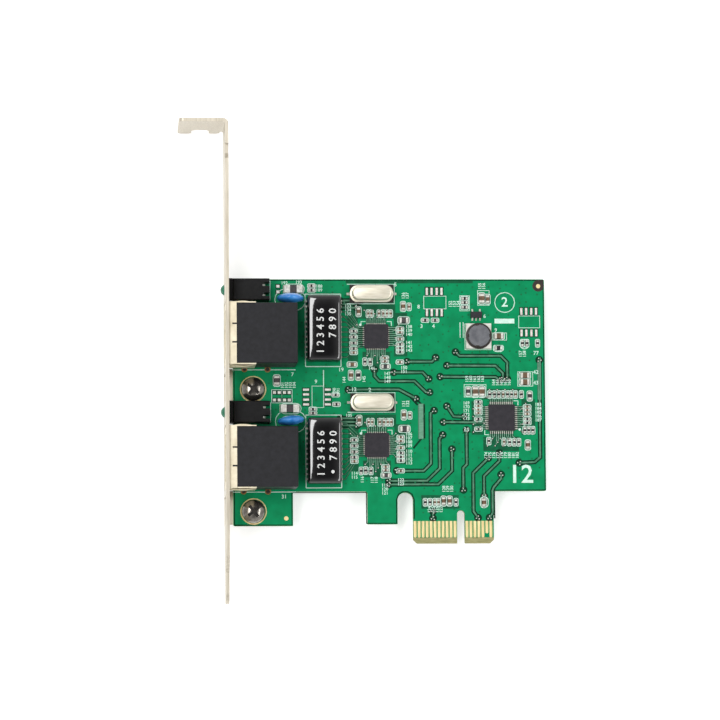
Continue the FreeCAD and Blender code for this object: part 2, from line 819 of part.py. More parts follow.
def build_screw(label, x, y, turn):
    """Pan head with a cross recess that narrows towards its floor."""
    body = new_body(label)
    head, shank = d.screw_head / 2, d.screw_shank / 2
    top = d.screw_head_height
    profile = sketch_on(body, f"{label}_profile", "XZ_Plane")
    outline(profile, [
        (0, -d.screw_length), (shank - d.screw_point, -d.screw_length),
        (shank, d.screw_point - d.screw_length), (shank, 0), (head, 0),
        (head, d.screw_head_rim),
        (head * 0.88, top * 0.72), (head * 0.6, top), (0, top)])
    revolve(body, profile)
    mouth = sketch_on(body, f"{label}_recess_mouth", "XY_Plane", top + 0.1)
    cross_outline(mouth, d.recess_reach, d.recess_half_width)
    floor = sketch_on(body, f"{label}_recess_floor", "XY_Plane", d.recess_floor_height)
    cross_outline(floor, d.recess_floor_reach, d.recess_floor_half_width)
    recess = body.newObject("PartDesign::SubtractiveLoft", f"{label}_recess")
    recess.Profile = mouth
    recess.Sections = [floor]
    recess.Ruled = True
    place(body, x, y, 0, turn)


# ----------------------------------------------------------------------------- jacks

def plug_mouth(sketch):
    """Front of a modular jack: a wide cavity, a latch shelf and the latch's slot."""
    wide, shelf, slot = (width / 2 for width in (d.jack_cavity_width, d.latch_shelf_width,
                                                 d.latch_slot_width))
    outline(sketch, [
        (-wide, d.jack_cavity_roof), (-wide, d.jack_cavity_floor),
        (-shelf, d.jack_cavity_floor), (-shelf, d.latch_shelf_floor),
        (-slot, d.latch_shelf_floor), (-slot, d.latch_slot_floor),
        (slot, d.latch_slot_floor), (slot, d.latch_shelf_floor),
        (shelf, d.latch_shelf_floor), (shelf, d.jack_cavity_floor),
        (wide, d.jack_cavity_floor), (wide, d.jack_cavity_roof)])


def build_jack_housing(label, y):
    body = new_body(label)
    half = d.jack_width / 2
    block = sketch_on(body, f"{label}_block", "YZ_Plane", d.jack_front)
    rectangle(block, -half, 0, half, d.jack_height)
    pad(body, block, d.jack_rear - d.jack_front)
    cavity = sketch_on(body, f"{label}_cavity", "YZ_Plane", d.jack_front)
    plug_mouth(cavity)
    pocket(body, cavity, d.jack_cavity_depth, reverse=True)

    # the wires rise in a bay behind the cavity and come forward over its roof
    bay_front = d.jack_front + d.jack_cavity_depth + d.wire_bay_wall
    bay_rear = bay_front + d.wire_bay_depth
    bay_half = d.wire_bay_width / 2
    bay = sketch_on(body, f"{label}_wire_bay", "XY_Plane")
    rectangle(bay, bay_front, -bay_half, bay_rear, bay_half)
    pocket(body, bay, d.wire_bay_roof, reverse=True)
    passage = sketch_on(body, f"{label}_wire_passage", "XY_Plane", d.jack_cavity_roof - 0.1)
    rectangle(passage, d.jack_front + 1, -bay_half, bay_front + 0.1, bay_half)
    pocket(body, passage, d.wire_bay_roof - d.jack_cavity_roof + 0.1, reverse=True)

    pegs = sketch_on(body, f"{label}_pegs", "XY_Plane")
    circles(pegs, [(d.peg_column, d.peg_spacing / 2 * side, d.peg_diameter)
                   for side in (-1, 1)])
    pegged = pad(body, pegs, d.peg_length, reverse=True)
    peg_tips = [f"Edge{number}" for number, edge in enumerate(recomputed(pegged), start=1)
                if abs(edge.BoundBox.ZMax + d.peg_length.value) < 1e-3
                and edge.BoundBox.ZLength < 1e-3]
    chamfered = soften(body, pegged, "Chamfer", d.peg_chamfer, peg_tips)
    rim = straight_edges(chamfered, "x", y=[-half, half], z=[d.jack_height])
    rim += straight_edges(chamfered, "y", x=[d.jack_rear], z=[d.jack_height])
    rim += straight_edges(chamfered, "z", x=[d.jack_rear], y=[-half, half])
    soften(body, chamfered, "Chamfer", d.jack_edge_chamfer, rim)
    place(body, 0, y)


def recomputed(feature):
    doc.recompute()
    return feature.Shape.Edges


def bow_drop(half_span, rise):
    """How far an arc's centre lies below its chord, for half a span and the arc's rise."""
    radius = (half_span * half_span + rise * rise) / (rise * 2)
    return radius - rise


def build_jack_shield(label, y):
    """Stamped front: a face with the plug's mouth, a short top strip with two slots, and
    longer sides with a bowed spring and a leg each."""
    body = new_body(label)
    thick = d.shield_thickness
    inner_y, inner_z = d.jack_width / 2, d.jack_height
    outer_y, outer_z = inner_y + thick, inner_z + thick
    face_x = d.jack_front - thick
    wrap = sketch_on(body, f"{label}_wrap", "YZ_Plane", face_x)
    bottom = d.shield_side_bottom
    outline(wrap, [(-outer_y, bottom), (-inner_y, bottom), (-inner_y, inner_z),
                   (inner_y, inner_z), (inner_y, bottom), (outer_y, bottom),
                   (outer_y, outer_z), (-outer_y, outer_z)])
    pad(body, wrap, d.shield_side_end - face_x)
    front = sketch_on(body, f"{label}_face", "YZ_Plane", face_x)
    rectangle(front, -outer_y, bottom, outer_y, outer_z)
    plug_mouth(front)
    pad(body, front, thick)

    top = sketch_on(body, f"{label}_top_cut", "XY_Plane", inner_z)
    rectangle(top, d.shield_top_end, -outer_y - 1, d.shield_side_end + 1, outer_y + 1)
    pocket(body, top, thick + 0.5, reverse=True)
    slots = sketch_on(body, f"{label}_top_slots", "XY_Plane", inner_z)
    for side in (-1, 1):
        middle = d.shield_slot_offset * side
        rectangle(slots, d.shield_top_end - d.shield_slot_length,
                  middle - d.shield_slot_width / 2, d.shield_top_end + 0.5,
                  middle + d.shield_slot_width / 2)
    pocket(body, slots, thick + 0.5, reverse=True)

    legs = sketch_on(body, f"{label}_legs", "YZ_Plane", d.shield_leg_column)
    foot = -d.board_thickness - d.lead_below_board
    for side in (-1, 1):
        low, high = sorted((inner_y * side, outer_y * side), key=lambda size: size.value)
        rectangle(legs, low, foot, high, bottom + 0.2)
    pad(body, legs, d.shield_leg_width, both_ways=True)

    # each spring is a strip that leaves the side, bows outwards and comes back to it
    springs = sketch_on(body, f"{label}_springs", "XY_Plane", d.spring_low)
    spring_front = face_x + d.spring_inset * 3
    spring_rear = d.shield_side_end - d.spring_inset
    half_span = (spring_rear - spring_front) / 2
    middle = spring_front + half_span
    arcs = [bow_drop(half_span, d.spring_bulge),
            bow_drop(half_span - thick, d.spring_bulge - thick)]
    for side in (-1, 1):
        outer_centre, inner_centre = ((outer_y - drop) * side for drop in arcs)
        outline(springs, [(spring_front, outer_y * side),
                          (spring_front + thick, outer_y * side),
                          (spring_rear - thick, outer_y * side),
                          (spring_rear, outer_y * side)],
                {1: (middle, inner_centre, side < 0), 3: (middle, outer_centre, side > 0)})
    pad(body, springs, d.spring_high - d.spring_low)
    place(body, 0, y)


def build_jack_wires(label, y):
    """Eight contact wires: up from the board, over the cavity's roof, back down into it."""
    body = new_body(label)
    thick = d.wire_thickness
    foot = -d.board_thickness - d.lead_below_board
    crest = d.wire_bay_roof - thick / 2
    bend = d.wire_bend
    front = d.jack_front + d.wire_front_inset
    tip = (front + d.wire_spring_run, d.jack_cavity_floor + d.wire_spring_height)
    for name, pin, first in (("front", d.wire_front_pin, 0), ("rear", d.wire_rear_pin, 1)):
        start = jack_wire_offsets()[first]
        route = sketch_on(body, f"{label}_{name}_route", "XZ_Plane", start)
        outline(route, [(pin, foot), (pin, crest - bend), (pin - bend, crest),
                        (front, crest), (front - bend, crest - bend),
                        (front, crest - bend * 2), tip], closed=False)
        section = sketch_on(body, f"{label}_{name}_section", "XY_Plane", foot)
        rectangle(section, pin - thick / 2, start - d.wire_width / 2, pin + thick / 2,
                  start + d.wire_width / 2)
        wire = body.newObject("PartDesign::AdditivePipe", f"{label}_{name}_wire")
        wire.Profile = section
        wire.Spine = (route, [])
        wire.Transition = "Right corner"
        repeat(body, [wire], section, "V_Axis", d.wire_pitch * 2, 4)
    place(body, 0, y)


# ----------------------------------------------------------------------------- lamps

def build_lamp_holder(label, y):
    """Black block that holds a round lamp on its side, with open slots for the leads."""
    body = new_body(label)
    half = d.holder_width / 2
    block = sketch_on(body, f"{label}_block", "YZ_Plane", d.holder_front)
    rectangle(block, -half, 0, half, d.holder_height)
    pad(body, block, d.holder_rear - d.holder_front)
    bore = sketch_on(body, f"{label}_bore", "YZ_Plane", d.holder_front)
    circles(bore, [(0, d.lamp_axis_height, d.holder_bore)])
    pocket(body, bore, d.holder_bore_depth, reverse=True)
    channels = sketch_on(body, f"{label}_lead_channels", "YZ_Plane", d.holder_rear)
    slots = sketch_on(body, f"{label}_lead_slots", "XY_Plane")
    reach = d.holder_slot_width / 2
    for side in (-1, 1):
        middle = d.lamp_lead_spacing / 2 * side
        rectangle(channels, middle - reach, d.lamp_axis_height - reach, middle + reach,
                  d.lamp_axis_height + reach)
        rectangle(slots, d.holder_rear - d.holder_slot_depth, middle - reach,
                  d.holder_rear + 1, middle + reach)
    pocket(body, channels, d.holder_rear - d.holder_front - d.holder_bore_depth + 0.4)
    slotted = pocket(body, slots, d.holder_height + 1, reverse=True)
    rim = straight_edges(slotted, "x", y=[-half, half], z=[d.holder_height])
    rim += straight_edges(slotted, "y", x=[d.holder_front], z=[d.holder_height])
    soften(body, slotted, "Fillet", d.holder_edge_round, rim)
    place(body, 0, y)


def build_lamp(label, y):
    """Round lamp on its side: dome through the bracket, flange against the holder."""
    body = new_body(label)
    radius, flange = d.lamp_diameter / 2, d.lamp_flange_diameter / 2
    profile = sketch_on(body, f"{label}_profile", "XY_Plane", 0)
    outline(profile, [
        (d.lamp_tip, 0), (d.lamp_rear, 0), (d.lamp_rear, radius), (d.holder_front, radius),
        (d.holder_front, flange), (d.lamp_flange_front, flange),
        (d.lamp_flange_front, radius), (d.lamp_tip + radius, radius),
        (d.lamp_tip + radius * 0.3, radius * 0.72), (d.lamp_tip, radius * 0.32)])
    revolve(body, profile, "H_Axis")
    place(body, 0, y, d.lamp_axis_height)


def build_lamp_leads(label, y):
    """Two leads that run back from the lamp and bend down into the board."""
    body = new_body(label)
    half = d.lamp_lead_width / 2
    top = d.lamp_axis_height + half
    below = -d.board_thickness - d.lead_below_board
    bend = d.lamp_lead_bend
    column = d.lamp_lead_column
    side = sketch_on(body, f"{label}_side", "XZ_Plane", d.lamp_lead_spacing / 2)
    outline(side, [
        (d.lamp_rear, top - half * 2), (column - half - bend, top - half * 2),
        (column - half, top - half * 2 - bend), (column - half, below),
        (column + half, below), (column + half, top - half * 2 - bend),
        (column - half - bend, top), (d.lamp_rear, top),
    ], {1: (column - half - bend, top - half * 2 - bend, False),
        5: (column - half - bend, top - half * 2 - bend, True)})
    lead = pad(body, side, d.lamp_lead_width, both_ways=True)
    repeat(body, [lead], side, "N_Axis", d.lamp_lead_spacing, 2)
    place(body, 0, y)


# ------------------------------------------------------------------- disc capacitors

def build_disc_capacitor(label, y):
    """Dipped disc that stands on edge, with coating run down the top of its leads."""
    body = new_body(label)
    radius, half = d.disc_diameter / 2, d.disc_thickness / 2
    rim = d.disc_rim / 2
    profile = sketch_on(body, f"{label}_profile", "XY_Plane")
    outline(profile, [(0, -half), (radius * 0.55, -half), (radius * 0.9, -rim * 1.7),
                      (radius, -rim), (radius, rim), (radius * 0.9, rim * 1.7),
                      (radius * 0.55, half), (0, half)])
    revolve(body, profile)
    stems = sketch_on(body, f"{label}_stems", "XY_Plane",
                      d.disc_coat_bottom - d.disc_axis_height)
    circles(stems, [(d.disc_lead_spacing / 2 * side, 0, d.disc_coat_diameter)
                    for side in (-1, 1)])
    pad(body, stems, d.disc_axis_height - d.disc_coat_bottom)
    place(body, d.disc_column, y, d.disc_axis_height)


def build_disc_leads(label, y):
    body = new_body(label)
    pins = sketch_on(body, f"{label}_pins", "XY_Plane", d.disc_coat_bottom)
    circles(pins, [(d.disc_lead_spacing / 2 * side, 0, d.disc_lead_diameter)
                   for side in (-1, 1)])
    pad(body, pins, d.disc_coat_bottom + d.board_thickness + d.lead_below_board,
        reverse=True)
    place(body, d.disc_column, y)


# ----------------------------------------------------------------------- transformers

def build_transformer(label, y):
    """Potted body whose long top edges are crowned."""
    body = new_body(label)
    half, low, top = d.transformer_width / 2, d.transformer_bottom, d.transformer_top
    crown = d.transformer_crown
    profile = sketch_on(body, f"{label}_profile", "XZ_Plane")
    outline(profile, [
        (-half, low), (half, low), (half, top - crown), (half - crown, top),
        (crown - half, top), (-half, top - crown),
    ], {2: (half - crown, top - crown, True), 4: (crown - half, top - crown, True)})
    block = pad(body, profile, d.transformer_length, both_ways=True)
    uprights = straight_edges(block, "z", x=[-half, half])
    soften(body, block, "Chamfer", d.transformer_end_round, uprights)
    place(body, d.transformer_column, y)


def build_transformer_leads(label, y):
    """Twelve gull-wing leads down each long side."""
    body = new_body(label)
    half = d.transformer_width / 2
    thick, reach, exit_height = (d.gull_lead_thickness, d.gull_lead_reach,
                                 d.gull_lead_exit)
    bend = half + d.gull_lead_standoff
    side = sketch_on(body, f"{label}_side", "XZ_Plane", d.gull_lead_pitch * 5.5)
    for sign in (-1, 1):
        outline(side, [(x * sign, z) for x, z in (
            (half, exit_height), (bend, exit_height), (bend, 0), (half + reach, 0),
            (half + reach, thick), (bend + thick, thick),
            (bend + thick, exit_height + thick), (half, exit_height + thick))])
    pair = pad(body, side, d.gull_lead_width, both_ways=True)
    repeat(body, [pair], side, "N_Axis", d.gull_lead_pitch, 12)
    place(body, d.transformer_column, y)


# --------------------------------------------------------------------------- crystals

def build_crystal(row, y):
    """Metal can crimped to its flange, on a black base with a flat lead at each end."""
    can = new_body(f"crystal_can_{row}")
    foot = sketch_on(can, f"crystal_flange_{row}", "XY_Plane", d.crystal_base_height)
    stadium(foot, d.crystal_flange_length, d.crystal_flange_width)
    pad(can, foot, d.crystal_flange_height)
    shell = sketch_on(can, f"crystal_shell_{row}", "XY_Plane", d.crystal_base_height)
    stadium(shell, d.crystal_can_length, d.crystal_can_width)
    raised = pad(can, shell, d.crystal_can_height)
    top = d.crystal_base_height + d.crystal_can_height
    rim = [f"Edge{number}" for number, edge in enumerate(recomputed(raised), start=1)
           if abs(edge.BoundBox.ZMin - top.value) < 1e-3]
    soften(can, raised, "Chamfer", d.crystal_can_chamfer, rim)
    place(can, d.crystal_column, y)

    base = new_body(f"crystal_base_{row}")
    plan = sketch_on(base, f"crystal_plan_{row}", "XY_Plane", d.crystal_lead_thickness)
    half_length, half_width = d.crystal_base_length / 2, d.crystal_base_width / 2
    rectangle(plan, -half_length, -half_width, half_length, half_width)
    pad(base, plan, d.crystal_base_height - d.crystal_lead_thickness)
    place(base, d.crystal_column, y)

    leads = new_body(f"crystal_leads_{row}")
    strips = sketch_on(leads, f"crystal_strips_{row}", "XY_Plane")
    width = d.crystal_lead_width / 2
    for side in (-1, 1):
        ends = sorted(((half_length - d.crystal_lead_inside) * side,
                       (half_length + d.crystal_lead_reach) * side),
                      key=lambda size: size.value)
        rectangle(strips, ends[0], -width, ends[1], width)
    pad(leads, strips, d.crystal_lead_thickness)
    place(leads, d.crystal_column, y)


# ------------------------------------------------------------------------- flat chips

def build_flat_chip(label, pads_label, x, y, chip, pads_a_side):
    """Square moulded chip on a ring of pads, with a pin-one dimple."""
    body = new_body(label)
    half = chip.size / 2
    plan = sketch_on(body, f"{label}_plan", "XY_Plane", d.pad_thickness)
    rectangle(plan, -half, -half, half, half)
    pad(body, plan, chip.height)
    top = d.pad_thickness + chip.height
    dimple = sketch_on(body, f"{label}_dimple", "XY_Plane", top)
    inset = half - d.pin_mark_inset
    circles(dimple, [(inset * chip.mark[0], inset * chip.mark[1], d.pin_mark_diameter)])
    pocket(body, dimple, d.pin_mark_depth)
    place(body, x, y)

    leads = new_body(pads_label)
    first = -d.pad_pitch * ((pads_a_side - 1) / 2)
    outer, inner = half + chip.reach, half + chip.reach - chip.pad_length
    half_pad = d.pad_width / 2
    rows = sketch_on(leads, f"{pads_label}_rows", "XY_Plane")
    columns = sketch_on(leads, f"{pads_label}_columns", "XY_Plane")
    for side in (-1, 1):
        low, high = sorted((inner * side, outer * side), key=lambda size: size.value)
        rectangle(rows, first - half_pad, low, first + half_pad, high)
        rectangle(columns, low, first - half_pad, high, first + half_pad)
    top_bottom = pad(leads, rows, d.pad_thickness)
    repeat(leads, [top_bottom], rows, "H_Axis", d.pad_pitch, pads_a_side)
    left_right = pad(leads, columns, d.pad_thickness)
    repeat(leads, [left_right], columns, "V_Axis", d.pad_pitch, pads_a_side)
    place(leads, x, y)


# --------------------------------------------------------------------------- inductor

def build_inductor():
    half = d.inductor_width / 2
    base = new_body("inductor_base")
    plan = sketch_on(base, "inductor_plan", "XY_Plane")
    rectangle(plan, -half, -half, half, half)
    pad(base, plan, d.inductor_base_height)
    well = sketch_on(base, "inductor_well", "XY_Plane", d.inductor_base_height)
    circles(well, [(0, 0, d.inductor_bore)])
    pocket(base, well, d.inductor_base_height - d.inductor_floor)

    drum = new_body("inductor_core")
    foot, top, post = (size / 2 for size in (d.drum_foot_diameter, d.drum_top_diameter,
                                             d.drum_post_diameter))
    low, high = d.inductor_floor, d.inductor_floor + d.drum_height
    profile = sketch_on(drum, "drum_profile", "XZ_Plane")
    outline(profile, [
        (0, low), (foot, low), (foot, low + d.drum_flange), (post, low + d.drum_flange),
        (post, high - d.drum_flange), (top, high - d.drum_flange), (top, high - d.drum_edge),
        (top - d.drum_edge, high), (0, high)])
    revolve(drum, profile)

    coil = new_body("inductor_winding")
    ring = sketch_on(coil, "winding_ring", "XY_Plane", low + d.drum_flange)
    circles(ring, [(0, 0, d.winding_diameter), (0, 0, d.drum_post_diameter)])
    pad(coil, ring, d.drum_height - d.drum_flange * 2)

    clips = new_body("inductor_terminals")
    front = sketch_on(clips, "clip_shape", "YZ_Plane", half)
    reach = d.clip_width / 2
    rectangle(front, -reach, 0, reach, d.inductor_base_height - d.clip_inset)
    pad(clips, front, d.clip_thickness)
    back = sketch_on(clips, "opposite_clip_shape", "YZ_Plane", -half)
    rectangle(back, -reach, 0, reach, d.inductor_base_height - d.clip_inset)
    pad(clips, back, d.clip_thickness, reverse=True)
    for body in (base, drum, coil, clips):
        place(body, d.inductor_column, d.inductor_row)


# -------------------------------------------------------------------------- regulator

def build_regulator():
    body = new_body("regulator_body")
    half_length, half_width = d.regulator_length / 2, d.regulator_width / 2
    plan = sketch_on(body, "regulator_plan", "XY_Plane", d.regulator_standoff)
    rectangle(plan, -half_length, -half_width, half_length, half_width)
    block = pad(body, plan, d.regulator_height)
    block.TaperAngle = -4
    place(body, d.regulator_column, d.regulator_row)

    leads = new_body("regulator_leads")
    thick, reach, height = (d.regulator_lead_thickness, d.regulator_lead_reach,
                            d.regulator_lead_exit)
    lead_shape = ((half_width, height), (half_width + 0.1, height), (half_width + 0.1, 0),
                  (half_width + reach, 0), (half_width + reach, thick),
                  (half_width + 0.1 + thick, thick),
                  (half_width + 0.1 + thick, height + thick), (half_width, height + thick))
    first = -d.regulator_lead_pitch
    for name, side, pitch, count in (("lower", -1, 1, 3), ("upper", 1, 2, 2)):
        sketch = sketch_on(leads, f"regulator_{name}_lead", "YZ_Plane", first)
        outline(sketch, [(y * side, z) for y, z in lead_shape])
        lead = pad(leads, sketch, d.regulator_lead_width, both_ways=True)
        repeat(leads, [lead], sketch, "N_Axis", d.regulator_lead_pitch * pitch, count)
    place(leads, d.regulator_column, d.regulator_row)


# ------------------------------------------------------------------------------ chips

def chip_list():
    """Every chip as name, size, direction, x, y."""
    for name, size, direction, places in CHANNEL_CHIPS:
        for x, y in places:
            yield name, size, direction, x, as_size(y)
            yield name, size, direction, x, d.channel_pitch + y
    for name, size, direction, places in SINGLE_CHIPS:
        for x, y in places:
            yield name, size, direction, x, as_size(y)


def build_chips():
    """Rectangular chips: a body between two end terminals, grouped by kind."""
    bodies, terminals = {}, {}
    for name, size, direction, x, y in chip_list():
        length, width, height, end = (getattr(d, f"{size}_chip_{measure}")
                                      for measure in ("length", "width", "height",
                                                      "terminal"))
        spans = [(-length / 2, end, terminals), (end - length / 2, length - end * 2, bodies),
                 (length / 2 - end, end, terminals)]
        for start, span, kind in spans:
            if direction == ALONG_X:
                block = box(start + x, y - width / 2, 0, span, width, height)
            else:
                block = box(x - width / 2, y + start, 0, width, span, height)
            kind.setdefault(name, []).append(block)
    for name in bodies:
        group(f"{name}_bodies", bodies[name])
        group(f"{name}_terminals", terminals[name])


# -------------------------------------------------------------------------- the card

def build_card():
    build_board()
    build_contacts("edge_contacts_front", 0, "front", 16)
    build_contacts("edge_contacts_back", -d.board_thickness, "back", 0)
    build_bracket()
    for row, block, screw_turn in (("lower", 0, 38), ("upper", d.block_pitch, 52)):
        build_screw(f"bracket_screw_{row}", d.screw_column, d.screw_row + block, screw_turn)
        build_jack_housing(f"jack_housing_{row}", d.jack_row + block)
        build_jack_shield(f"jack_shield_{row}", d.jack_row + block)
        build_jack_wires(f"jack_contacts_{row}", d.jack_row + block)
        build_lamp_holder(f"lamp_holder_{row}", d.lamp_row + block)
        build_lamp(f"lamp_{row}", d.lamp_row + block)
        build_lamp_leads(f"lamp_leads_{row}", d.lamp_row + block)
        build_disc_capacitor(f"disc_capacitor_{row}", d.disc_row + block)
        build_disc_leads(f"disc_capacitor_leads_{row}", d.disc_row + block)
        build_transformer(f"line_transformer_{row}", d.transformer_row + block)
        build_transformer_leads(f"transformer_leads_{row}", d.transformer_row + block)
    controller = SimpleNamespace(size=d.controller_size, height=d.controller_height,
                                 reach=d.controller_pad_reach,
                                 pad_length=d.controller_pad_length, mark=(-1, 1))
    for row, channel in (("lower", 0), ("upper", d.channel_pitch)):
        build_crystal(row, d.crystal_row + channel)
        build_flat_chip(f"controller_chip_{row}", f"controller_pads_{row}",
                        d.controller_column, d.controller_row + channel, controller, 10)
    switch = SimpleNamespace(size=d.switch_size, height=d.switch_height,
                             reach=d.switch_pad_reach, pad_length=d.switch_pad_length,
                             mark=(1, -1))
    build_flat_chip("switch_chip", "switch_pads", d.switch_column, d.switch_row, switch, 12)
    build_inductor()
    build_regulator()
    build_chips()
    doc.recompute()


def check_card():
    """Stop if anything failed, or if a cut removed nothing."""
    for thing in doc.Objects:
        if "Invalid" in thing.State or "Error" in thing.State:
            raise RuntimeError(f"{thing.Name} failed: {thing.State}")
        if thing.TypeId in ("PartDesign::Pocket", "PartDesign::SubtractiveLoft"):
            if thing.Shape.Volume > thing.BaseFeature.Shape.Volume - 1e-4:
                raise RuntimeError(f"{thing.Name} cut nothing")
    for thing in subparts:
        if thing.Shape.isNull() or not thing.Shape.isValid():
            raise RuntimeError(f"{thing.Label} has no valid shape")


build_card()
check_card()
os.makedirs("parts", exist_ok=True)
for thing in subparts:
    thing.Shape.exportStep(f"parts/{thing.Label}.step")
    print(f"{thing.Label}: {len(thing.Shape.Solids)} solids, {thing.Shape.Volume:.2f} mm3")
print(f"{len(subparts)} sub-parts")
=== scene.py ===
import json
import math
import random
import bpy
from mathutils import Matrix, Vector


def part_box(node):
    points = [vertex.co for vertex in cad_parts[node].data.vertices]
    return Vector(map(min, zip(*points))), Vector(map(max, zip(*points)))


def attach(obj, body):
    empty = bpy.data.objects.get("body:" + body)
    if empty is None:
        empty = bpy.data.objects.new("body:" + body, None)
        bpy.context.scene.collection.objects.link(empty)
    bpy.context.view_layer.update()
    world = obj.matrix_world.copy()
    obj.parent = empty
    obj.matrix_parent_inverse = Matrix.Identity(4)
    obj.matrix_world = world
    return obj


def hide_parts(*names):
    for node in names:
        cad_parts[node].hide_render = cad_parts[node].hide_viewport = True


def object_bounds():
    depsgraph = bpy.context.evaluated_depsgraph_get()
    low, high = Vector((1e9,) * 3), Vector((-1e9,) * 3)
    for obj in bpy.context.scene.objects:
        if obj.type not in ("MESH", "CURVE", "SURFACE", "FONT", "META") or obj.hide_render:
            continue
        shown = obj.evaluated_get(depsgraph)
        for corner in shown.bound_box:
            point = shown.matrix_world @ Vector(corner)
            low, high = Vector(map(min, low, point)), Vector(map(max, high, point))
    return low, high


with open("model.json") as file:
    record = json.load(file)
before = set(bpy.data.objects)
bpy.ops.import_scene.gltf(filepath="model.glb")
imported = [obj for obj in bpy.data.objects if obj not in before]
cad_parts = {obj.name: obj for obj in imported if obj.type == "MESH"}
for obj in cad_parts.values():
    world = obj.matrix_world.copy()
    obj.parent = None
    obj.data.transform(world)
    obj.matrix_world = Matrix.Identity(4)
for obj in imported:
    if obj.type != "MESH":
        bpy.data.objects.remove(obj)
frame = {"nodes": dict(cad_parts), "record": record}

cadBox = [list(corner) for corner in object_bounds()]
nodes = frame["nodes"]
mm = 0.001
print("stage: frame loaded")

# The card lies flat: x runs away from the bracket, y up the card, z out of the parts side.
# Lengths are in millimetres and become metres where a mesh is made.
card = {
    "top": 0.0,
    "underside": -1.57,
    "blockPitch": 30.6,
    "channelPitch": 27.3,
    "rows": ("lower", "upper"),
}


def srgb(red, green, blue):
    levels = [level / 255 for level in (red, green, blue)]
    return tuple(level / 12.92 if level <= 0.04045 else ((level + 0.055) / 1.055) ** 2.4
                 for level in levels)


# Materials: a shader with its fixed values, then noise that drives colour, gloss and bump.
spread = {"from": 0.3, "to": 0.7}  # the part of the noise's range that is used

def newMaterial(name, colour, roughness, metallic=0.0, sockets=None):
    material = bpy.data.materials.new(name)
    material.use_nodes = True
    shader = material.node_tree.nodes["Principled BSDF"]
    shader.inputs["Base Color"].default_value = (*colour, 1)
    shader.inputs["Roughness"].default_value = roughness
    shader.inputs["Metallic"].default_value = metallic
    for socket, value in (sockets or {}).items():
        shader.inputs[socket].default_value = value
    return material


def addNode(material, kind, inputs=None, **settings):
    node = material.node_tree.nodes.new(kind)
    for name, value in settings.items():
        setattr(node, name, value)
    for name, value in (inputs or {}).items():
        node.inputs[name].default_value = value
    return node


def wire(material, output, socket):
    material.node_tree.links.new(output, socket)


def shaderOf(material):
    return material.node_tree.nodes["Principled BSDF"]


def place(material, stretch=(1, 1, 1)):
    coords = addNode(material, "ShaderNodeTexCoord")
    mapping = addNode(material, "ShaderNodeMapping", {"Scale": stretch})
    wire(material, coords.outputs["Object"], mapping.inputs["Vector"])
    return mapping.outputs["Vector"]


def noise(material, perMm, detail, stretch=(1, 1, 1)):
    node = addNode(material, "ShaderNodeTexNoise",
                   {"Scale": perMm / mm, "Detail": detail, "Distortion": 0.0})
    wire(material, place(material, stretch), node.inputs["Vector"])
    return node.outputs["Fac"]


def ramp(material, value, stops):
    node = addNode(material, "ShaderNodeValToRGB")
    band = node.color_ramp
    while len(band.elements) < len(stops):
        band.elements.new(0.5)
    for element, (position, colour) in zip(band.elements, stops):
        element.position = position
        element.color = (*colour, 1)
    wire(material, value, node.inputs["Fac"])
    return node.outputs["Color"]


def blend(material, value, dark, light):
    return ramp(material, value, [(spread["from"], dark), (spread["to"], light)])


def mottle(material, dark, light, perMm, stretch=(1, 1, 1)):
    colour = blend(material, noise(material, perMm, 3.0, stretch), dark, light)
    wire(material, colour, shaderOf(material).inputs["Base Color"])


def drive(material, value, socket, low, high):
    fade = addNode(material, "ShaderNodeMapRange",
                   {"From Min": spread["from"], "From Max": spread["to"],
                    "To Min": low, "To Max": high})
    wire(material, value, fade.inputs["Value"])
    wire(material, fade.outputs["Result"], shaderOf(material).inputs[socket])


def grain(material, perMm, height, strength=1.0, stretch=(1, 1, 1)):
    bump = addNode(material, "ShaderNodeBump", {"Distance": height * mm,
                                                "Strength": strength})
    wire(material, noise(material, perMm, 2.0, stretch), bump.inputs["Height"])
    wire(material, bump.outputs["Normal"], shaderOf(material).inputs["Normal"])


def faceHeight(material):  # 1 on faces that look up, -1 on those that look down
    geometry = addNode(material, "ShaderNodeNewGeometry")
    normal = addNode(material, "ShaderNodeSeparateXYZ")
    wire(material, geometry.outputs["Normal"], normal.inputs["Vector"])
    return normal.outputs["Z"]


def compute(material, operation, *values):
    node = addNode(material, "ShaderNodeMath", operation=operation)
    for value, socket in zip(values, node.inputs):
        if isinstance(value, float):
            socket.default_value = value
        else:
            wire(material, value, socket)
    return node.outputs["Value"]


def surface(name, dark, light, perMm, gloss, bump, metallic=0.0, stretch=(1, 1, 1),
            sockets=None):
    dark, light = srgb(*dark), srgb(*light)
    material = newMaterial(name, light, gloss[0], metallic, sockets)
    mottle(material, dark, light, perMm, stretch)
    drive(material, noise(material, perMm * 1.7, 4.0, stretch), "Roughness", *gloss)
    grain(material, bump[0], bump[1], stretch=stretch)
    return material


def dull(level):
    return {"Specular IOR Level": level}


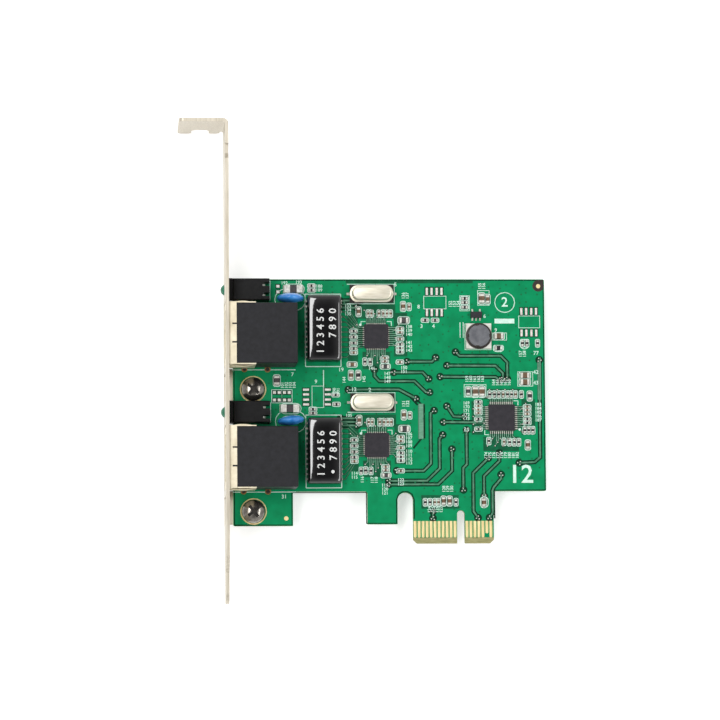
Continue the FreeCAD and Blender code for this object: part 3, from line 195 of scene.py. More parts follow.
def makeBoardMaterial():
    look = {
        "field": (srgb(0, 132, 82), srgb(0, 150, 95)),
        "core": (srgb(140, 138, 92), srgb(172, 166, 120)),
        "bareEdge": 1.5,  # the laminate shows up to here, in the connector's bevel
        "flatness": 0.99,
    }
    material = newMaterial("solderMask", look["field"][1], 0.4, sockets=dull(0.12))
    field = blend(material, noise(material, 0.35, 5.0), *look["field"])
    core = blend(material, noise(material, 2.5, 2.0, (0.25, 1, 4)), *look["core"])
    flat = compute(material, "ABSOLUTE", faceHeight(material))
    face = compute(material, "GREATER_THAN", flat, look["flatness"])
    spot = addNode(material, "ShaderNodeSeparateXYZ")
    wire(material, place(material), spot.inputs["Vector"])
    above = compute(material, "GREATER_THAN", spot.outputs["Y"], look["bareEdge"] * mm)
    mix = addNode(material, "ShaderNodeMix", data_type="RGBA")
    wire(material, compute(material, "MULTIPLY", face, above), mix.inputs["Factor"])
    wire(material, core, mix.inputs["A"])
    wire(material, field, mix.inputs["B"])
    wire(material, mix.outputs["Result"], shaderOf(material).inputs["Base Color"])
    grain(material, 1.2, 0.012, 0.6)
    return material


def makeLampMaterial():
    material = newMaterial("tintedResin", srgb(56, 150, 110), 0.12,
                           sockets={"Transmission Weight": 0.4, "IOR": 1.5})
    mottle(material, srgb(30, 118, 84), srgb(78, 176, 138), 0.6)
    grain(material, 1.5, 0.01, 0.4)
    return material


materials = {
    "board": makeBoardMaterial(),
    # Dark edging: copper-free gaps round the tracks, and painted shade along the card's rim
    # and round the empty pads.
    "traceEdgeAndShade": surface("traceEdgeAndShade", (0, 44, 26), (0, 66, 40), 0.5, (0.35, 0.45), (1.0, 0.01),
        sockets=dull(0.12)),
    # Darker patches of the mask, and painted shade along the card's top edge.
    "pourAndEdgeShade": surface("maskedPourAndEdgeShade", (0, 78, 48), (0, 104, 66), 0.6, (0.35, 0.45), (1.0, 0.01),
        sockets=dull(0.2)),
    "band": surface("maskedBand", (84, 140, 112), (124, 172, 146), 1.6, (0.35, 0.45),
        (1.0, 0.01), stretch=(0.3, 4, 1), sockets=dull(0.2)),
    "trace": surface("maskedCopper", (62, 118, 90), (102, 150, 122), 0.6, (0.3, 0.42),
        (1.0, 0.01), sockets=dull(0.2)),
    "silk": surface("silkInk", (196, 236, 218), (228, 250, 240), 1.5, (0.55, 0.7),
        (3.0, 0.01)),
    "gold": surface("goldPlate", (226, 200, 136), (254, 236, 180), 0.7, (0.4, 0.52),
        (4.0, 0.006), 0.45, (4, 0.4, 1)),
    "oldCopper": surface("oldCopper", (120, 88, 50), (170, 130, 80), 1.2, (0.3, 0.45),
        (3.0, 0.01), 0.7),
    "tin": surface("tinnedPad", (196, 194, 184), (244, 242, 234), 1.6, (0.35, 0.5),
        (2.0, 0.05), 0.2),
    "solder": surface("solder", (186, 186, 180), (242, 242, 236), 1.8, (0.2, 0.35),
        (1.5, 0.05), 0.4),
    "bracket": surface("nickelSheet", (194, 185, 167), (222, 214, 197), 1.1, (0.34, 0.44),
        (6.0, 0.006), 0.6, (2.5, 0.12, 2.5)),
    "shield": surface("tinSheet", (222, 210, 180), (250, 240, 214), 0.4, (0.34, 0.48),
        (2.5, 0.008), 0.6),
    "screw": surface("darkChrome", (104, 99, 93), (172, 167, 158), 0.6, (0.16, 0.24),
        (4.0, 0.002), 0.95),
    "jack": surface("jackMoulding", (20, 20, 24), (30, 30, 35), 0.8, (0.42, 0.55),
        (5.0, 0.015), sockets=dull(0.3)),
    "contactWire": surface("contactGold", (206, 168, 92), (236, 204, 130), 1.0, (0.2, 0.32),
        (4.0, 0.005), 0.9),
    "holder": surface("holderMoulding", (4, 4, 6), (12, 12, 14), 0.9, (0.3, 0.45),
        (5.0, 0.012), sockets=dull(0.25)),
    "lamp": makeLampMaterial(),
    "lead": surface("tinnedLead", (184, 182, 172), (228, 226, 216), 1.2, (0.3, 0.45),
        (3.0, 0.01), 0.4),
    "disc": surface("dippedEpoxy", (30, 116, 200), (72, 160, 236), 0.5, (0.14, 0.26),
        (0.7, 0.06), sockets={"Coat Weight": 0.6, "Coat Roughness": 0.08}),
    "transformer": surface("pottedEpoxy", (2, 2, 3), (8, 7, 10), 0.4, (0.3, 0.4), (0.3, 0.05),
        sockets={"Coat Weight": 1.0, "Coat IOR": 1.9, "Coat Roughness": 0.06, **dull(0.08)}),
    "can": surface("drawnCan", (226, 218, 196), (250, 244, 226), 0.5, (0.3, 0.42),
        (3.0, 0.008), 0.6, (0.6, 4, 4)),
    "crystalBase": surface("crystalBase", (20, 14, 12), (34, 26, 22), 1.0, (0.5, 0.6),
        (4.0, 0.01)),
    "chip": surface("chipMoulding", (36, 34, 40), (48, 45, 51), 0.9, (0.5, 0.62), (6.0, 0.012),
        sockets=dull(0.3)),
    "ferrite": surface("ferrite", (84, 86, 92), (116, 117, 122), 0.7, (0.5, 0.65),
        (3.0, 0.02)),
    "winding": surface("enamelledWire", (96, 44, 22), (150, 78, 40), 0.6, (0.25, 0.35),
        (1.2, 0.06), 0.5, (1, 1, 6)),
    "inductorBase": surface("whiteMoulding", (206, 206, 196), (240, 240, 232), 0.8,
        (0.45, 0.6), (3.0, 0.015)),
    "capacitor": surface("brownCeramic", (84, 62, 42), (126, 98, 68), 1.2, (0.4, 0.5),
        (4.0, 0.01)),
    "resistor": surface("blackGlaze", (22, 22, 24), (42, 40, 42), 1.4, (0.25, 0.4),
        (4.0, 0.01)),
    "bead": surface("greyFerrite", (44, 42, 44), (70, 66, 66), 1.2, (0.4, 0.5), (4.0, 0.01)),
    "print": surface("whitePrint", (214, 216, 214), (240, 241, 239), 1.5, (0.55, 0.7),
        (3.0, 0.01)),
    "speck": surface("filledVia", (0, 98, 58), (0, 120, 72), 1.0, (0.4, 0.5), (2.0, 0.01),
        sockets=dull(0.2)),
    "recess": surface("recessShade", (34, 31, 28), (66, 62, 57), 1.2, (0.3, 0.45),
        (3.0, 0.004), 0.4),
    # Near black: the ring holes and the sighting mark's surround, and painted shade round the
    # inductor's core and in its notches.
    "darkMaskAndShade": surface("darkMaskAndPaintedShade", (28, 18, 14), (46, 32, 24), 1.0, (0.4, 0.5), (2.0, 0.01)),
}
# The transformers' coat shines on top and fades down their sides.
drive(materials["transformer"], faceHeight(materials["transformer"]), "Coat Weight", 0.08, 1.0)

slotMaterials = {  # where a slot and its finish have different names
    "contact_wire": "contactWire", "lamp_holder": "holder", "disc_capacitor": "disc",
    "crystal_base": "crystalBase", "inductor_base": "inductorBase", "terminal": "tin",
}
for entry in frame["record"]["subparts"]:
    mesh = nodes[entry["node"]].data
    mesh.materials.clear()
    slot = entry["material_slot"]
    mesh.materials.append(materials[slotMaterials.get(slot, slot)])
print("stage: finishes ready")


# Modelling helpers.

def setMode(mode):
    bpy.ops.object.mode_set(mode=mode)


def startClean():
    if bpy.context.object and bpy.context.object.mode != "OBJECT":
        setMode("OBJECT")
    bpy.ops.object.select_all(action="DESELECT")


def selectOnly(*parts):
    startClean()
    for part in parts:
        part.select_set(True)
    bpy.context.view_layer.objects.active = parts[0]


def nameLast(name):
    piece = bpy.context.object
    piece.name = name
    piece.data.name = name
    return piece


def pick(piece, kind, test):
    setMode("EDIT")
    bpy.ops.mesh.select_mode(type=kind)
    bpy.ops.mesh.select_all(action="DESELECT")
    setMode("OBJECT")
    items = {"VERT": piece.data.vertices, "EDGE": piece.data.edges,
             "FACE": piece.data.polygons}[kind]
    for item in items:
        item.select = test(item)
    setMode("EDIT")


def join(name, parts):
    selectOnly(*parts)
    if len(parts) > 1:
        bpy.ops.object.join()
    return nameLast(name)


def applyModifier(piece, kind, **settings):
    selectOnly(piece)
    modifier = piece.modifiers.new(kind, kind)
    for name, value in settings.items():
        setattr(modifier, name, value)
    bpy.ops.object.modifier_apply(modifier=modifier.name)


def finishPiece(piece, material, smoothAngle=None):
    selectOnly(piece)
    bpy.ops.object.transform_apply(location=True, rotation=True, scale=True)
    if smoothAngle:
        bpy.ops.object.shade_smooth_by_angle(angle=math.radians(smoothAngle))
    piece.data.materials.clear()
    piece.data.materials.append(materials[material])
    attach(piece, "root")


def stamp(name, master, matrices, material, smoothAngle=None):
    copies = []
    for matrix in matrices:
        copy = master.copy()
        copy.data = master.data.copy()
        copy.data.transform(matrix)
        bpy.context.collection.objects.link(copy)
        copies.append(copy)
    bpy.data.objects.remove(master)
    finishPiece(join(name, copies), material, smoothAngle)


def at(x, y, z=0.0, turn=0.0, scale=(1, 1, 1)):
    return (Matrix.Translation(Vector((x, y, z)) * mm)
            @ Matrix.Rotation(math.radians(turn), 4, "Z") @ Matrix.Diagonal((*scale, 1)))


def around(radius, degrees):
    angle = math.radians(degrees)
    return radius * math.cos(angle), radius * math.sin(angle)


def turned(name, profile, sides):
    startClean()
    radius, height = profile[0]
    bpy.ops.mesh.primitive_circle_add(vertices=sides, radius=radius * mm,
                                      fill_type="NGON", location=(0, 0, height * mm))
    piece = nameLast(name)
    bpy.ops.object.transform_apply(location=True)
    setMode("EDIT")
    bpy.ops.mesh.select_all(action="SELECT")
    for nextRadius, nextHeight in profile[1:]:
        rise = (0, 0, (nextHeight - height) * mm)
        bpy.ops.mesh.extrude_region_move(TRANSFORM_OT_translate={"value": rise})
        factor = nextRadius / radius
        bpy.ops.transform.resize(value=(factor, factor, 1),
                                 center_override=(0, 0, nextHeight * mm))
        radius, height = nextRadius, nextHeight
    bpy.ops.mesh.select_all(action="SELECT")
    bpy.ops.mesh.normals_make_consistent(inside=False)
    setMode("OBJECT")
    return piece


def scatter(name, profile, sides, spots, material, smoothAngle=None,
            level=card["top"]):
    master = turned(name + "Master", profile, sides)
    stamp(name, master, [at(x, y, level) for x, y in spots], material, smoothAngle)


def drawLines(name, runs, width, rise, material, level=card["top"], closed=False):
    startClean()
    bpy.ops.curve.primitive_nurbs_path_add()
    piece = nameLast(name)
    curve = piece.data
    curve.splines.clear()
    curve.dimensions = "3D"
    curve.twist_mode = "Z_UP"
    for run in runs:
        spline = curve.splines.new("POLY")
        spline.points.add(len(run) - 1)
        for point, (x, y) in zip(spline.points, run):
            point.co = (x * mm, y * mm, level * mm, 1)
        spline.use_cyclic_u = closed
    curve.bevel_depth = width / 2 * mm
    curve.bevel_resolution = 1
    curve.use_fill_caps = True
    selectOnly(piece)
    bpy.ops.object.convert(target="MESH")
    piece = nameLast(name)
    squeeze = rise / (width / 2)
    for vertex in piece.data.vertices:
        vertex.co.z = level * mm + (vertex.co.z - level * mm) * squeeze
    finishPiece(piece, material)


def roundedBox(x, y, length, width, radius):
    points = []
    steps = 4
    corners = ((1, 1, 0), (-1, 1, 90), (-1, -1, 180), (1, -1, 270))
    for signX, signY, start in corners:
        for step in range(steps + 1):
            outX, outY = around(radius, start + 90 * step / steps)
            points.append((x + signX * (length / 2 - radius) + outX,
                           y + signY * (width / 2 - radius) + outY))
    return points


def boxOutline(x0, y0, x1, y1):
    return [(x0, y0), (x1, y0), (x1, y1), (x0, y1)]


def cube(name, height=0.0):
    startClean()
    bpy.ops.mesh.primitive_cube_add(size=mm, location=(0, 0, height * mm))
    piece = nameLast(name)
    bpy.ops.object.transform_apply(location=True, scale=True)
    return piece


def slab(name):
    piece = cube(name)
    pick(piece, "EDGE", lambda edge: min(piece.data.vertices[v].co.z
                                         for v in edge.vertices) > 0)
    bpy.ops.mesh.bevel(offset=0.06 * mm, segments=1)
    setMode("OBJECT")
    return piece


def drawPads(name, spots, rise, material):
    places = [at(x, y, card["top"], 0, (length, width, rise * 2))
              for x, y, length, width in spots]
    stamp(name, slab(name + "Master"), places, material)


def drawNumbers(name, marks, level, size, thick=0.02):
    startClean()
    texts = []
    for words, x, y, turn in marks:
        bpy.ops.object.text_add(location=(x * mm, y * mm, level * mm),
                                rotation=(0, 0, math.radians(turn)))
        text = bpy.context.object
        text.data.body = words
        text.data.size = size * mm
        text.data.align_x = "CENTER"
        text.data.align_y = "CENTER"
        text.data.extrude = thick / 2 * mm
        text.data.offset = size * 0.012 * mm
        text.data.resolution_u = 2
        texts.append(text)
    selectOnly(*texts)
    bpy.ops.object.convert(target="MESH")
    numbers = join(name, texts)
    bpy.ops.object.transform_apply(location=True, rotation=True, scale=True)
    return numbers


def solidsOf(nodeName):
    mesh = nodes[nodeName].data
    leader = {}

    def find(key):
        while leader[key] != key:
            key = leader[key]
        return key

    for polygon in mesh.polygons:
        keys = [tuple(round(value * 1e6) for value in mesh.vertices[index].co)
                for index in polygon.vertices]
        for key in keys:
            leader.setdefault(key, key)
        first = find(keys[0])
        for key in keys[1:]:
            leader[find(key)] = first
    groups = {}
    for key in leader:
        groups.setdefault(find(key), []).append(Vector(key) / 1000)
    return list(groups.values())


def boxOf(nodeName):
    return [Vector(corner) * 1000 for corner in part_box(nodeName)]


def span(points):
    low = Vector([min(point[axis] for point in points) for axis in range(3)])
    high = Vector([max(point[axis] for point in points) for axis in range(3)])
    return low, high


def middleOf(island):
    low, high = span(island)
    return (low + high) / 2


# Camera, floor and light. The card is seen from straight above, a little from below left.
view = {
    "eye": (-86.7, -40.5, 1000.0),
    "aim": (-25.02, 46.03, 0.0),
    "up": (0.0012, 0.9963, 0.0863),
    "lens": 200.7,
    "sensor": 36,
    "clip": (0.01, 20),
    "middle": (-0.025, 0.045),  # of the floor, and what the lamps point at
    "floorSize": 1400.0,
    "floorColour": (0.86, 0.86, 0.86),
    "floorGlow": 0.48,
    "sky": [(0.0, 0.8), (0.6, 0.8), (0.9, 0.35), (0.99, 0.05)],
    "lamps": [("leftLamp", (-0.46, 0.2, 1.3), (1.2, 0.3), 8.5),
              ("rightLamp", (0.62, -0.1, 1.2), (1.0, 0.22), 3.5)],
}


def setCamera():
    eye = Vector(view["eye"])
    forward = (Vector(view["aim"]) - eye).normalized()
    right = forward.cross(Vector(view["up"])).normalized()
    up = right.cross(forward)
    data = bpy.data.cameras.new("camera")
    data.lens = view["lens"]
    data.sensor_width = view["sensor"]
    data.clip_start, data.clip_end = view["clip"]
    camera = bpy.data.objects.new("camera", data)
    bpy.context.collection.objects.link(camera)
    turn = Matrix((right, up, -forward)).transposed().to_4x4()
    camera.matrix_world = Matrix.Translation(eye * mm) @ turn
    bpy.context.scene.camera = camera
    bpy.context.scene.view_settings.view_transform = "Standard"


def makeFloor():
    startClean()
    bpy.ops.mesh.primitive_plane_add(size=view["floorSize"] * mm,
                                     location=(*view["middle"], cadBox[0][2]))
    floor = nameLast("floor")
    material = newMaterial("paperFloor", view["floorColour"], 0.9, sockets=dull(0.1))
    grain(material, 0.4, 0.02, 0.2)
    paths = addNode(material, "ShaderNodeLightPath").outputs
    seen = compute(material, "MAXIMUM", paths["Is Camera Ray"], paths["Is Glossy Ray"])
    seen = compute(material, "MAXIMUM", seen, paths["Is Transmission Ray"])
    glow = addNode(material, "ShaderNodeEmission")
    wire(material, compute(material, "MULTIPLY", seen, view["floorGlow"]),
         glow.inputs["Strength"])
    add = addNode(material, "ShaderNodeAddShader")
    wire(material, shaderOf(material).outputs["BSDF"], add.inputs[0])
    wire(material, glow.outputs["Emission"], add.inputs[1])
    output = material.node_tree.nodes["Material Output"]
    wire(material, add.outputs["Shader"], output.inputs["Surface"])
    floor.data.materials.append(material)


def makeLight():
    world = bpy.data.worlds.new("softWorld")
    bpy.context.scene.world = world
    world.use_nodes = True
    background = world.node_tree.nodes["Background"]
    coords = addNode(world, "ShaderNodeTexCoord")
    height = addNode(world, "ShaderNodeSeparateXYZ")
    wire(world, coords.outputs["Generated"], height.inputs["Vector"])
    sky = ramp(world, height.outputs["Z"],
               [(rise, (level, level, level)) for rise, level in view["sky"]])
    wire(world, sky, background.inputs["Color"])
    for name, spot, size, power in view["lamps"]:
        data = bpy.data.lights.new(name, "AREA")
        data.energy = power
        data.shape = "RECTANGLE"
        data.size, data.size_y = size
        lamp = bpy.data.objects.new(name, data)
        bpy.context.collection.objects.link(lamp)
        aim = Vector((*view["middle"], 0)) - Vector(spot)
        lamp.matrix_world = (Matrix.Translation(spot)
                             @ aim.to_track_quat("-Z", "Y").to_matrix().to_4x4())


setCamera()
makeFloor()
makeLight()
print("stage: camera and light ready")

# Copper under the green mask: light runs over wider dark edges.
copper = {
    "rise": 0.02,
    "edgeRise": 0.008,
    "runs": [
        [(-1, 48), (0, 47.05), (10.4, 47.05), (12, 45.4), (12, 41.2)],
        [(-3.2, 44.6), (9, 44.55), (10.9, 42.7), (10.9, 41.2)],
        [(-4.9, 41.8), (9, 41.7), (10, 41)],
        [(-7.8, 41.3), (-9.3, 42.9), (-16.6, 42.9)],
        [(-13.2, 45.6), (-6.9, 45.6), (-6, 46.6)],
        [(-21.4, 43.6), (-21.4, 42), (-20.2, 40.7), (-11.4, 40.7), (-8.5, 37.9), (-7.6, 37.9)],
        [(-3.3, 34.4), (-1.6, 31.85), (1, 31.7)],
        [(-4.2, 30.4), (6.4, 30.3)],
        [(-6.5, 33.3), (-7.4, 32.6), (-7.4, 20), (-9.2, 18.2), (-16, 18.2)],
        [(-4.4, 27.2), (-5.2, 26.2), (-5.2, 18.8), (-8.4, 15.7), (-18, 15.7)],
        [(-2.1, 23.6), (-2.1, 18.2), (-5.6, 14.8), (-18, 14.8)],
        [(1.6, 28.4), (1.6, 19.8), (0.7, 18.9), (0.7, 13.4)],
        [(7, 21.3), (3.2, 17.6), (3.2, 8), (4.3, 6.4)],
        [(9.8, 22.6), (9.8, 20.6), (5.9, 16.8), (5.9, 11.8)],
        [(20.1, 46), (20.1, 21.5), (18.7, 20.3), (14.8, 20.1)],
        [(-7, 8), (-7, 6.3)],
        [(-28, 38.6), (-15.3, 38.6), (-11, 36.3)],
        *[[(-30, y), (-25.8, y)] for y in (31.4, 30.5, 29.6)],
        [(-30, 61), (-24.9, 61)], *[[(-30, y), (-25.8, y)] for y in (60.1, 59.2)],
        [(10.2, 17.2), (10.2, 16.2), (8.3, 14), (8, 13.2), (8, 7.6), (7.2, 6.4)],
    ],
    "dotStep": 2.45,
    "dotDrift": 0.32,
    "bands": [[(-9.8, 35), (-9.8, 26.2)]],
    "bandEnds": [[(-11.7, 37), (-9.8, 35), (-9.8, 26.2), (-11.8, 23.8)],
                 [(-12.4, 36.6), (-10.6, 34.7)], [(-9, 34.9), (-9, 26.3)]],
    "pairs": [[(19.75, 46), (19.75, 36)], [(20.35, 46.6), (20.35, 36)]],
    "rim": [[(-56.6, 4.75), (-42.25, 4.75), (-42.25, 12.8), (-23.65, 12.8), (-23.65, 5.1),
             (-16.1, 5.1), (-16.1, 11), (-15.6, 12.3), (-14.6, 12.95), (-13.2, 12.95),
             (-12.2, 12.3), (-11.7, 11), (-11.7, 6.2)],
            [(8.5, 6.2), (8.5, 13.3), (21.25, 13.3), (21.25, 66.1), (-56.6, 66.1),
             (-56.6, 4.75)]],
    # The first patch, along the card's top edge, is painted shade; the others are darker mask.
    "poursAndEdgeShade": [(-12.5, 65.75, 32, 0.8), (-26.8, 52.3, 2.6, 13.5), (-26.8, 24.8, 2.6, 13.5),
              (-21.3, 58.2, 10.5, 3.6), (-21.3, 30.7, 10.5, 3.2), (-20.9, 45.9, 7, 4.4),
              (-20.9, 18.7, 7, 4.2), (10.3, 37.4, 9.6, 2.6), (17.2, 31.6, 3.4, 9),
              (4.4, 31.4, 3, 8.4), (10.3, 24.9, 9, 3.6), (-14.8, 52.4, 3.4, 11),
              (-14.8, 24.9, 3.4, 10), (-5.2, 10.4, 9.4, 3.4), (-44.4, 47.2, 2, 4)],
}


# Short tracks leave the chips' outer pads, and twelve run from each transformer to its chip.
fanOut = {
    "reaches": (1.1, 2.0, 2.9),
    "end": (0.7, 0.3),
}
bundle = {
    "tracks": 12,
    "leadX": -29.7,
    "middleX": -27.1,
    "padX": -24.2,
    "leadRow": 23.1,
    "leadPitch": 1.27,
    "padRow": 24.65,
    "padPitch": 0.5,
    "longestSlope": 3.6,
}


def makeFanOuts():
    runs, ends = [], []
    for node in ("controller_pads_lower", "controller_pads_upper", "switch_pads"):
        low, high = boxOf(node)
        middle = (low + high) / 2
        for island in solidsOf(node):
            start = middleOf(island)
            start.z = 0
            offset = start - middle
            offset.z = 0
            if abs(offset.x) > abs(offset.y):
                outward = Vector((math.copysign(1, offset.x), 0, 0))
            else:
                outward = Vector((0, math.copysign(1, offset.y), 0))
            across = offset - outward * offset.dot(outward)
            elbow = start + outward * fanOut["reaches"][len(runs) % 3]
            end = elbow + outward * fanOut["end"][0] + across * fanOut["end"][1]
            runs.append([tuple(point.xy) for point in (start, elbow, end)])
            ends.append(tuple(end.xy))
    return runs, ends


def makeBundles():
    runs = []
    for index in range(len(card["rows"])):
        for track in range(bundle["tracks"]):
            step = track - (bundle["tracks"] - 1) / 2
            start = (bundle["leadRow"] + index * card["blockPitch"]
                     + step * bundle["leadPitch"])
            end = bundle["padRow"] + index * card["channelPitch"] + step * bundle["padPitch"]
            reach = min(abs(start - end), bundle["longestSlope"]) / 2
            runs.append([(bundle["leadX"], start), (bundle["middleX"] - reach, start),
                         (bundle["middleX"] + reach, end), (bundle["padX"], end)])
    return runs


fanRuns, fanEnds = makeFanOuts()
bundleRuns = makeBundles()
rise, edgeRise = copper["rise"], copper["edgeRise"]
drawLines("bandEnds", copper["bandEnds"], 0.5, edgeRise, "traceEdgeAndShade")
drawLines("bands", copper["bands"], 1.5, 0.012, "band")
drawLines("pairTraces", copper["pairs"], 0.26, 0.025, "band")
drawLines("rimShade", copper["rim"], 0.34, 0.01, "traceEdgeAndShade")
# Darker mask patches, one of them painted shade along the card's top edge.
drawPads("poursAndEdgeShade", copper["poursAndEdgeShade"], 0.003, "pourAndEdgeShade")
drawLines("bundleEdges", bundleRuns, 0.4, 0.007, "traceEdgeAndShade")
drawLines("bundles", bundleRuns, 0.22, rise, "trace")
drawLines("traceEdges", copper["runs"], 1.15, edgeRise, "traceEdgeAndShade")
drawLines("traces", copper["runs"], 0.56, rise, "trace")
drawLines("fanOutEdges", fanRuns, 0.55, edgeRise, "traceEdgeAndShade")
drawLines("fanOuts", fanRuns, 0.3, rise, "band")


def isBoardField(x, y):  # inside the board's outline, clear of its edges
    if -10.8 < x < 7.4:
        return 7.2 < y < 65
    return -55 < x < 20 and (15 if x < 8 else 14.2) < y < 65


def fieldDots():
    shuffle = random.Random(7)
    step, drift = copper["dotStep"], copper["dotDrift"]
    spots = []
    for column in range(32):
        for line in range(26):
            x = -56 + (column + shuffle.uniform(-drift, drift)) * step
            y = 6 + (line + shuffle.uniform(-drift, drift)) * step
            if isBoardField(x, y):
                spots.append((x, y))
    return spots


# Vias stand in threes at the ends of the wide runs and alone at those of the fan-outs.
via = {
    "blob": [(1.0, -0.01), (1.0, 0.012)],
    "ring": [(0.3, -0.01), (0.3, 0.018), (0.24, 0.03), (0.135, 0.032)],
    "centre": [(0.15, 0.0), (0.15, 0.038)],
    "speck": [(0.24, -0.01), (0.24, 0.009)],
    "apart": 0.42,
}


def endsOf(runs):
    return [run[0] for run in runs] + [run[-1] for run in runs]


def makeVias():
    ends = endsOf(copper["runs"])
    spots = []
    shuffle = random.Random(3)
    for x, y in ends:
        start = shuffle.uniform(0, 360)
        for turn in (0, 120, 240):
            outX, outY = around(via["apart"], start + turn)
            spots.append((x + outX, y + outY))
    spots += fanEnds
    scatter("viaBlobs", via["blob"], 16, ends, "traceEdgeAndShade")
    scatter("viaRings", via["ring"], 10, spots, "traceEdgeAndShade", smoothAngle=40)
    scatter("viaCentres", via["centre"], 8, spots, "tin")
    scatter("viaSpecks", via["speck"], 8, fieldDots(), "speck")


makeVias()
print("stage: copper drawn")

# Bare copper: pads of unused footprints, rings at the jacks, sighting marks, screw seats.
pads = {
    "rise": 0.04,
    # The painted shadow rims round the empty pads: their height, and how much larger than the
    # pads they are.
    "shadowRimRise": 0.012,
    "gap": 0.5,
    "empty": ([(x, y, 1.5, 0.55) for x in (-38.6, -33.15) for y in (38.6, 37.4, 36.1, 34.9)]
              + [(x, y, 0.55, 1.8) for x in (-8.1, -6.9, -5.6, -4.4) for y in (63.3, 57.95)]
              + [(x, y, 0.55, 1.7) for x in (15.7, 16.9, 18.2, 19.4) for y in (58.25, 52.8)]
              + [(x, y, 0.75, 0.7) for x in (-46.5, -45.3, -44, -42.8) for y in (36, 37.9)]
              + [(-37.5, 64.7, 0.7, 0.7), (-36.6, 64.7, 0.7, 0.7), (-37.5, 63.6, 0.7, 0.7),
                 (-36.6, 63.6, 0.7, 0.7), (-45.5, 64.6, 0.8, 0.7), (-45.5, 63.2, 0.8, 0.7)]),
    "rings": [(-54, 43.75), (-48.2, 43.7), (-54.3, 13.15), (-48.2, 13.1)],
    "ring": [(0.78, 0), (0.78, 0.05), (0.7, 0.06), (0.45, 0.045)],
    "ringHole": [(0.46, 0), (0.46, 0.065)],
    "sights": [(20, 64.6), (-43.7, 6.4)],
    "sight": [(0.55, 0), (0.55, 0.045), (0.5, 0.06)],
    "patch": [(1.45, 0), (1.45, 0.02), (1.35, 0.03)],
    "seats": [(-51.85, 8.15), (-51.85, 38.75)],
    "seat": [(3.3, 0), (3.3, 0.035), (3.2, 0.05)],
}

